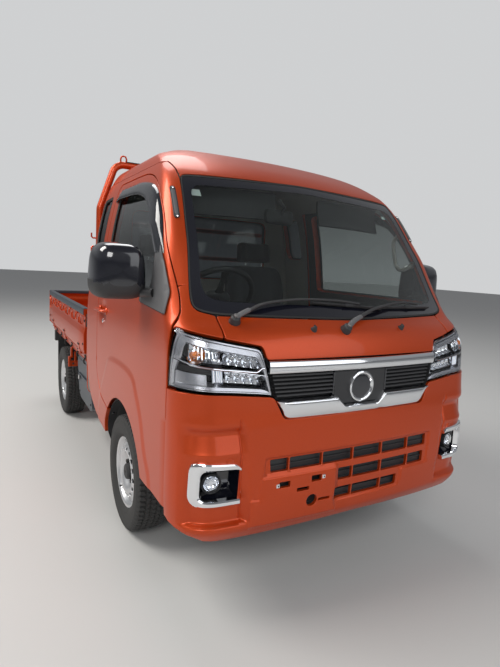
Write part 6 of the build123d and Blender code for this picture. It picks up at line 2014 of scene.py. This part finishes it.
# Mud flaps of ribbed rubber, side skirts with a slot, and the tank's straps and filler
flaps = Build()
for q in (-1, 1):
    for d0, z0, z1 in ((3010, 236, 598), (2346, 500, 598)):
        flaps.box((q * 572, d0, z0), (q * 713, d0 + 5, z1), "rubber", 2)
        for x in range(590, 705, 22):
            flaps.box((q * (x - 3), d0 + 4, z0 + 12), (q * (x + 3), d0 + 7, z1 - 30), "rubber", 1.5)
        flaps.box((q * 570, d0 - 3, z1 - 22), (q * 715, d0, z1), "chassis", 1)
        for x in (600, 642, 684):
            bolt(flaps, (q * x, d0 + 5, z1 - 12), (0, 1, 0), 6)
flaps.make("mud_flaps_detailed", replaces="mud_flaps")
skirt = Build()
for q in (-1, 1):
    outline = rounded([(1694, 590), (2150, 590), (2165, 540), (2165, 300), (2120, 272), (1770, 268),
        (1716, 300), (1694, 420)], cut=24, step=16)
    rows = []
    for x, k in ((664, 0.97), (672, 1.0), (688, 1.0), (694, 0.99), (695, 0.97)):
        tucked = x - 16 * np.maximum(0, 430 - outline[:, 1:]) / 160
        rows.append(np.hstack([q * tucked, scaled(outline, k, (1930, 430))]))
    skirt.sweep(rows if q == -1 else [r[::-1] for r in rows], "strip")
    skirt.cap(rows[-1] if q == -1 else rows[-1][::-1], "strip")
    skirt.cap(rows[0] if q == 1 else rows[0][::-1], "strip")
    skirt.box((q * 690, 1760, 452), (q * 698, 2110, 460), "strip", 2)
    skirt.box((q * 692, 2086, 408), (q * 697.5, 2134, 440), "gloss", 4)
    skirt.box((q * 690, 1720, 556), (q * 698, 2130, 566), "strip", 2)
    for d, z in ((1740, 576), (1930, 578), (2120, 576), (1750, 320), (2130, 320)):
        bolt(skirt, (q * (694.5 - 16 * max(0, (430 - z)) / 160), d, z), (q, 0, 0), 6)
    for d in (1740, 2100):
        skirt.box((q * 600, d, 560), (q * 668, d + 24, 570), "chassis", 2)
        skirt.box((q * 655, d, 470), (q * 668, d + 24, 598), "chassis", 2)
skirt.make("side_skirts", replaces="side_covers")
tank = Build()
for d in (1840, 2080):
    strap = rounded([(438, 328), (555, 328), (555, 592), (438, 592)], cut=26, step=8)
    tank.sweep([np.array([(x, d + dy, z) for x, z in shifted(leftward(strap), off)])
        for dy, off in ((0, 0), (0, -2.2), (28, -2.2), (28, 0))], "chassis", closed_loop=True)
    bolt(tank, (496, d + 14, 327), (0, 0, -1), 7)
tank.lathe((552, 1800, 520), (1, 0, 0.35), [(26, 0), (26, 40), (32, 44), (32, 60), (26, 64), (0, 66)],
    "plastic", 28)
tank.lathe((500, 2010, 590), (0, 0, 1), [(36, -3), (36, 4), (30, 6), (0, 6)], "engine", 28)
tank.tube([(500, 2010, 596), (480, 1960, 604), (430, 1900, 600), (400, 1760, 560)], 5, "rubber", 10)
tank.lathe((496, 1960, 331), (0, 0, -1), [(12, 0), (12, 3), (8, 6), (0, 6)], "engine", 6)
for d in (1800, 1920, 2000, 2120):
    tank.box((450, d - 3, 334), (556, d + 3, 340), "black_paint", 1)
tank.make("fuel_tank_fittings")

# Front struts: coil springs on their seats, clamps, brake hoses and tie rod ends on the knuckles
for side, q in SIDES:
    k = Build()
    x = 548.0
    a = np.linspace(0, 2 * math.pi * 4.6, 130)
    z = np.concatenate([np.linspace(559, 564, 14), np.linspace(564, 650, 102), np.linspace(650, 654, 14)])
    k.tube(np.stack([x + 43 * np.cos(a), FRONT_AXLE + 43 * np.sin(a), z], 1), 5.2, "chassis", 10)
    k.lathe((x, FRONT_AXLE, 540), (0, 0, 1), [(24, 0), (50, 0), (54, 3), (54, 9), (50, 12), (30, 13),
        (24, 20)], "chassis", 36)
    k.lathe((x, FRONT_AXLE, 455), (0, 0, 1), [(23, 0), (28, 2), (28, 70), (25, 74)], "chassis", 28)
    k.box((x - 30, 770, 330), (x + 26, 778, 420), "chassis", 3)
    k.box((x - 30, 812, 330), (x + 26, 820, 420), "chassis", 3)
    for zz in (350, 396):
        bolt(k, (x + 10, 770, zz), (0, -1, 0), 9)
        bolt(k, (x + 10, 820, zz), (0, 1, 0), 9)
    k.tube([(x + 20, 860, 268), (x - 20, 905, 262), (x - 70, 915, 258)], [13, 11, 9], "chassis", 12)
    k.lathe((x - 70, 915, 244), (0, 0, 1), [(12, 0), (14, 4), (14, 20), (8, 28), (0, 28)], "rubber", 18)
    k.tube([(x + 18, 840, 330), (x - 20, 856, 372), (x - 30, 850, 430), (x - 24, 822, 470)], 5, "rubber", 10)
    k.box((x - 34, 814, 460), (x - 18, 824, 476), "engine", 2)
    for p in round_about((FRONT_AXLE, AXLE_HEIGHT), 62, NUTS):
        bolt(k, (x - 8, *p), (-1, 0, 0), 6)
    k.copy(q).make(f"strut_{side}_detailed", f"{side}_knuckle")

# Underside: bushes, tie rods, leaf packs, dampers, axle cover, brake lines, exhaust, engine and radiator
under = Build()
for q in (-1, 1):
    for d in (744, 846):
        under.lathe((q * 310, d - 14, 200), (0, 1, 0), [(20, 0), (24, 2), (24, 26), (20, 28)], "rubber", 24)
        bolt(under, (q * 310, d + 14, 200), (0, 1, 0), 9)
    under.tube([(q * 330, FRONT_AXLE, 214), (q * 440, FRONT_AXLE, 212), (q * 520, FRONT_AXLE, 211)],
        [9, 8, 8], "chassis", 10)
    under.lathe((q * 548, FRONT_AXLE, 168), (0, 0, 1), [(15, 0), (24, 3), (24, 8), (15, 8)], "chassis", 24)
    bolt(under, (q * 548, FRONT_AXLE, 174), (0, 0, -1), 9)
    under.tube([(q * 120, 985, 300), (q * 250, 960, 285), (q * 440, 925, 262)], [9, 8, 8], "chassis", 12)
    under.tube([(q * 120, 985, 300), (q * 190, 972, 292)], [24, 17], "rubber", 16)
    for half, lift in ((0.98, 26), (0.78, 14), (0.56, 2), (0.34, -8)):
        sub = np.array([(q * 470, REAR_AXLE + 510 * t, 302 + lift + 73.72 * t * t)
            for t in np.linspace(-half, half, 19)])
        rows = [np.array([(p[0] + dx, p[1], p[2] + dzz)
            for dx, dzz in ((-29, -5), (29, -5), (29, 4.6), (-29, 4.6))]) for p in sub]
        under.block(rows, "chassis")
    for d in (2650, 2740):
        u_bolt = [(q * (470 + x), d, z) for x, z in (
            (-36, 345), (-36, 262), (-30, 236), (0, 228), (30, 236), (36, 262), (36, 345))]
        under.tube(u_bolt, 6.5, "engine", 12)
        for x in (434, 506):
            bolt(under, (q * x, d, 342), (0, 0, 1), 8, "engine")
    under.box((q * 422, 2638, 336), (q * 518, 2752, 344), "chassis", 3)
    under.box((q * 440, 2630, 346), (q * 500, 2760, 372), "rubber", 8)
    for d, z in ((2185, 411), (3205, 411)):
        under.box((q * 438, d - 22, z - 26), (q * 443, d + 22, z + 34), "chassis", 2)
        under.box((q * 499, d - 22, z - 26), (q * 504, d + 22, z + 34), "chassis", 2)
        bolt(under, (q * 504, d, z), (q, 0, 0), 11)
    a0, a1 = np.array([q * 420, 2760, 262.0]), np.array([q * 388, 2920, 560.0])
    under.tube([a0, a0 + (a1 - a0) * 0.55], 22, "chassis", 20)
    under.tube([a0 + (a1 - a0) * 0.5, a0 + (a1 - a0) * 0.97], 27, "black_paint", 20)
    for e in (a0, a1):
        under.lathe(e + [-16 * q, 0, 0], (q, 0, 0), [(10, 0), (19, 0), (19, 32), (10, 32)], "rubber", 20)
        bolt(under, e + [16 * q, 0, 0], (q, 0, 0), 8)
    under.lathe((q * 596, REAR_AXLE, AXLE_HEIGHT), (-q, 0, 0), [(98, 0), (104, 6), (104, 12), (60, 22),
        (40, 24)], "engine", 48)
    for p in round_about((REAR_AXLE, AXLE_HEIGHT), 62, NUTS):
        bolt(under, (q * 578, *p), (-q, 0, 0), 7)
    under.tube([(q * 570, 2760, 300), (q * 520, 2768, 312), (q * 300, 2764, 308), (q * 90, 2750, 310)], 3.5,
        "engine", 8)
    for d in range(1850, 3300, 190):
        under.lathe((q * 320, d, 455), (-q, 0, 0), [(0, 0.6), (11, 0.6), (12, -0.5)], "plastic", 18)
    under.tube([(q * 316, 300, 352), (q * 316, 1600, 352), (q * 316, 1790, 462), (q * 316, 3300, 462)], 4,
        "engine", 8)
under.lathe((0, 2770, AXLE_HEIGHT), (0, 1, 0), [(92, 0), (100, 4), (100, 10), (90, 16), (60, 40), (20, 52),
    (0, 53)], "chassis", 48)
for x, z in round_about((0, AXLE_HEIGHT), 95, full_turn(10)):
    bolt(under, (x, 2780, z), (0, 1, 0), 6, "engine")
bolt(under, (0, 2806, 300), (0, 1, 0), 11, "engine")
for d in (1948, 2322):
    under.lathe((-230, d, 330), (0, 1, 0), [(70, -3), (79, -3), (79, 8), (70, 8)], "exhaust", 40)
for d in (2040, 2230):
    under.lathe((-230, d, 330), (0, 1, 0), [(75, 0), (78, 1), (78, 17), (75, 18)], "engine", 40)
    under.box((-240, d + 2, 405), (-220, d + 16, 440), "rubber", 4)
    under.box((-244, d + 4, 436), (-216, d + 14, 452), "chassis", 2)
under.tube([(-230, 2465, 330), (-230, 2560, 334), (-250, 2600, 344), (-300, 2606, 350), (-300, 2610, 350)],
    18.5, "exhaust", 22)
under.lathe((-230, 1610, 330), (0, 1, 0), [(19, -6), (36, -6), (36, 4), (19, 4)], "exhaust", 28)
under.box((-190, 1110, 214), (170, 1500, 232), "engine", 14)
for j in range(8):
    bolt(under, (-180 + 50 * j, 1116, 229), (0, 0, -1), 5)
under.lathe((110, 1460, 216), (0, 0, -1), [(14, 0), (14, 5), (9, 9), (0, 9)], "exhaust", 6)
under.lathe((-150, 1180, 232), (0, 0, -1), [(38, -4), (38, 8), (34, 12), (0, 12)], "paint", 32)
for x, z, r in ((-120, 330, 62), (40, 300, 46), (150, 380, 40)):
    under.lathe((x, 1092, z), (0, -1, 0), [(r - 8, -4), (r, -4), (r, 1), (r - 5, 4), (r - 5, 11), (r, 14),
        (r, 19), (r - 9, 19), (r - 12, 12), (14, 10), (14, 18), (0, 18)], "chassis", 44)
for k in range(9):
    under.box((-94, 1570 + 40 * k, 306), (94, 1576 + 40 * k, 312), "engine", 2)
for x in (-104, 104):
    for k in range(6):
        under.box((x - 3, 1560 + 60 * k, 320), (x + 3, 1568 + 60 * k, 392), "engine", 2)
under.lathe((0, 1552, 352), (0, 1, 0), [(96, -8), (112, -8), (112, 12), (96, 12)], "engine", 48)
for j in range(8):
    a = 2 * math.pi * (j + 0.5) / 8
    bolt(under, (102 * math.cos(a), 1564, 352 + 102 * math.sin(a) * 0.45), (0, 1, 0), 5)
for d, z in ((1988, 356), (2552, 286)):
    under.lathe((0, d, z), (0, 1, -0.12), [(26, -12), (38, -10), (38, -2), (26, 0)], "engine", 28)
under.box((-250, 180, 382), (250, 250, 420), "chassis", 8)
for x in range(-220, 221, 40):
    under.box((x - 2, 176, 420), (x + 2, 184, 640), "engine", 1)
under.box((-240, 186, 420), (240, 216, 650), "plastic", 6)
under.make("underside_fittings", sharp=35)

# Wheel liners: black sheets inside the front arches, lower behind the wheel, with an edge bead and clips
LINER_RADIUS = 336
liner = Build()
path = [(1091, 308), (1093, 338), (1097, 366), (1104, 388), (1106, 408)]
path += round_about(ARCH, LINER_RADIUS, np.radians(np.linspace(27.5, 158, 52)))
path = even(np.array(path, float), 70)
sheet, bead_rows = [], []
for k, (d, z) in enumerate(path):
    t = path[min(k + 1, 69)] - path[max(k - 1, 0)]
    out = np.array([0, t[1], -t[0]]) / np.hypot(*t)
    out_x = float(np.interp(z, [308, 366], [702, 721])) if k < 12 else 721.0
    in_x = float(np.interp(z, [308, 338, 366, 388], [692, 676, 648, 632])) if k < 14 else 632.0
    at = np.array([0, d, z])
    sheet.append(np.array([at + out * r + [x, 0, 0]
        for x, r in ((out_x, 0), (out_x, 3.5), (in_x, 3.5), (in_x, 0))]))
    bead_rows.append(at + out * 0.5 + [out_x - 1.5, 0, 0])
liner.block(sheet, "plastic")
liner.tube(bead_rows, 3, "rubber", 8)
for a in np.radians((36.0, 62.0, 90.0, 130.0, 152.0)):
    along = np.array([0, math.cos(a), math.sin(a)])
    liner.lathe(np.array([700, *ARCH]) + along * LINER_RADIUS, -along, [(9, -1), (9, 1.5), (5, 3), (0, 3)],
        "gloss", 16)
liner.make("wheel_liner_left")
liner.copy(-1).make("wheel_liner_right")
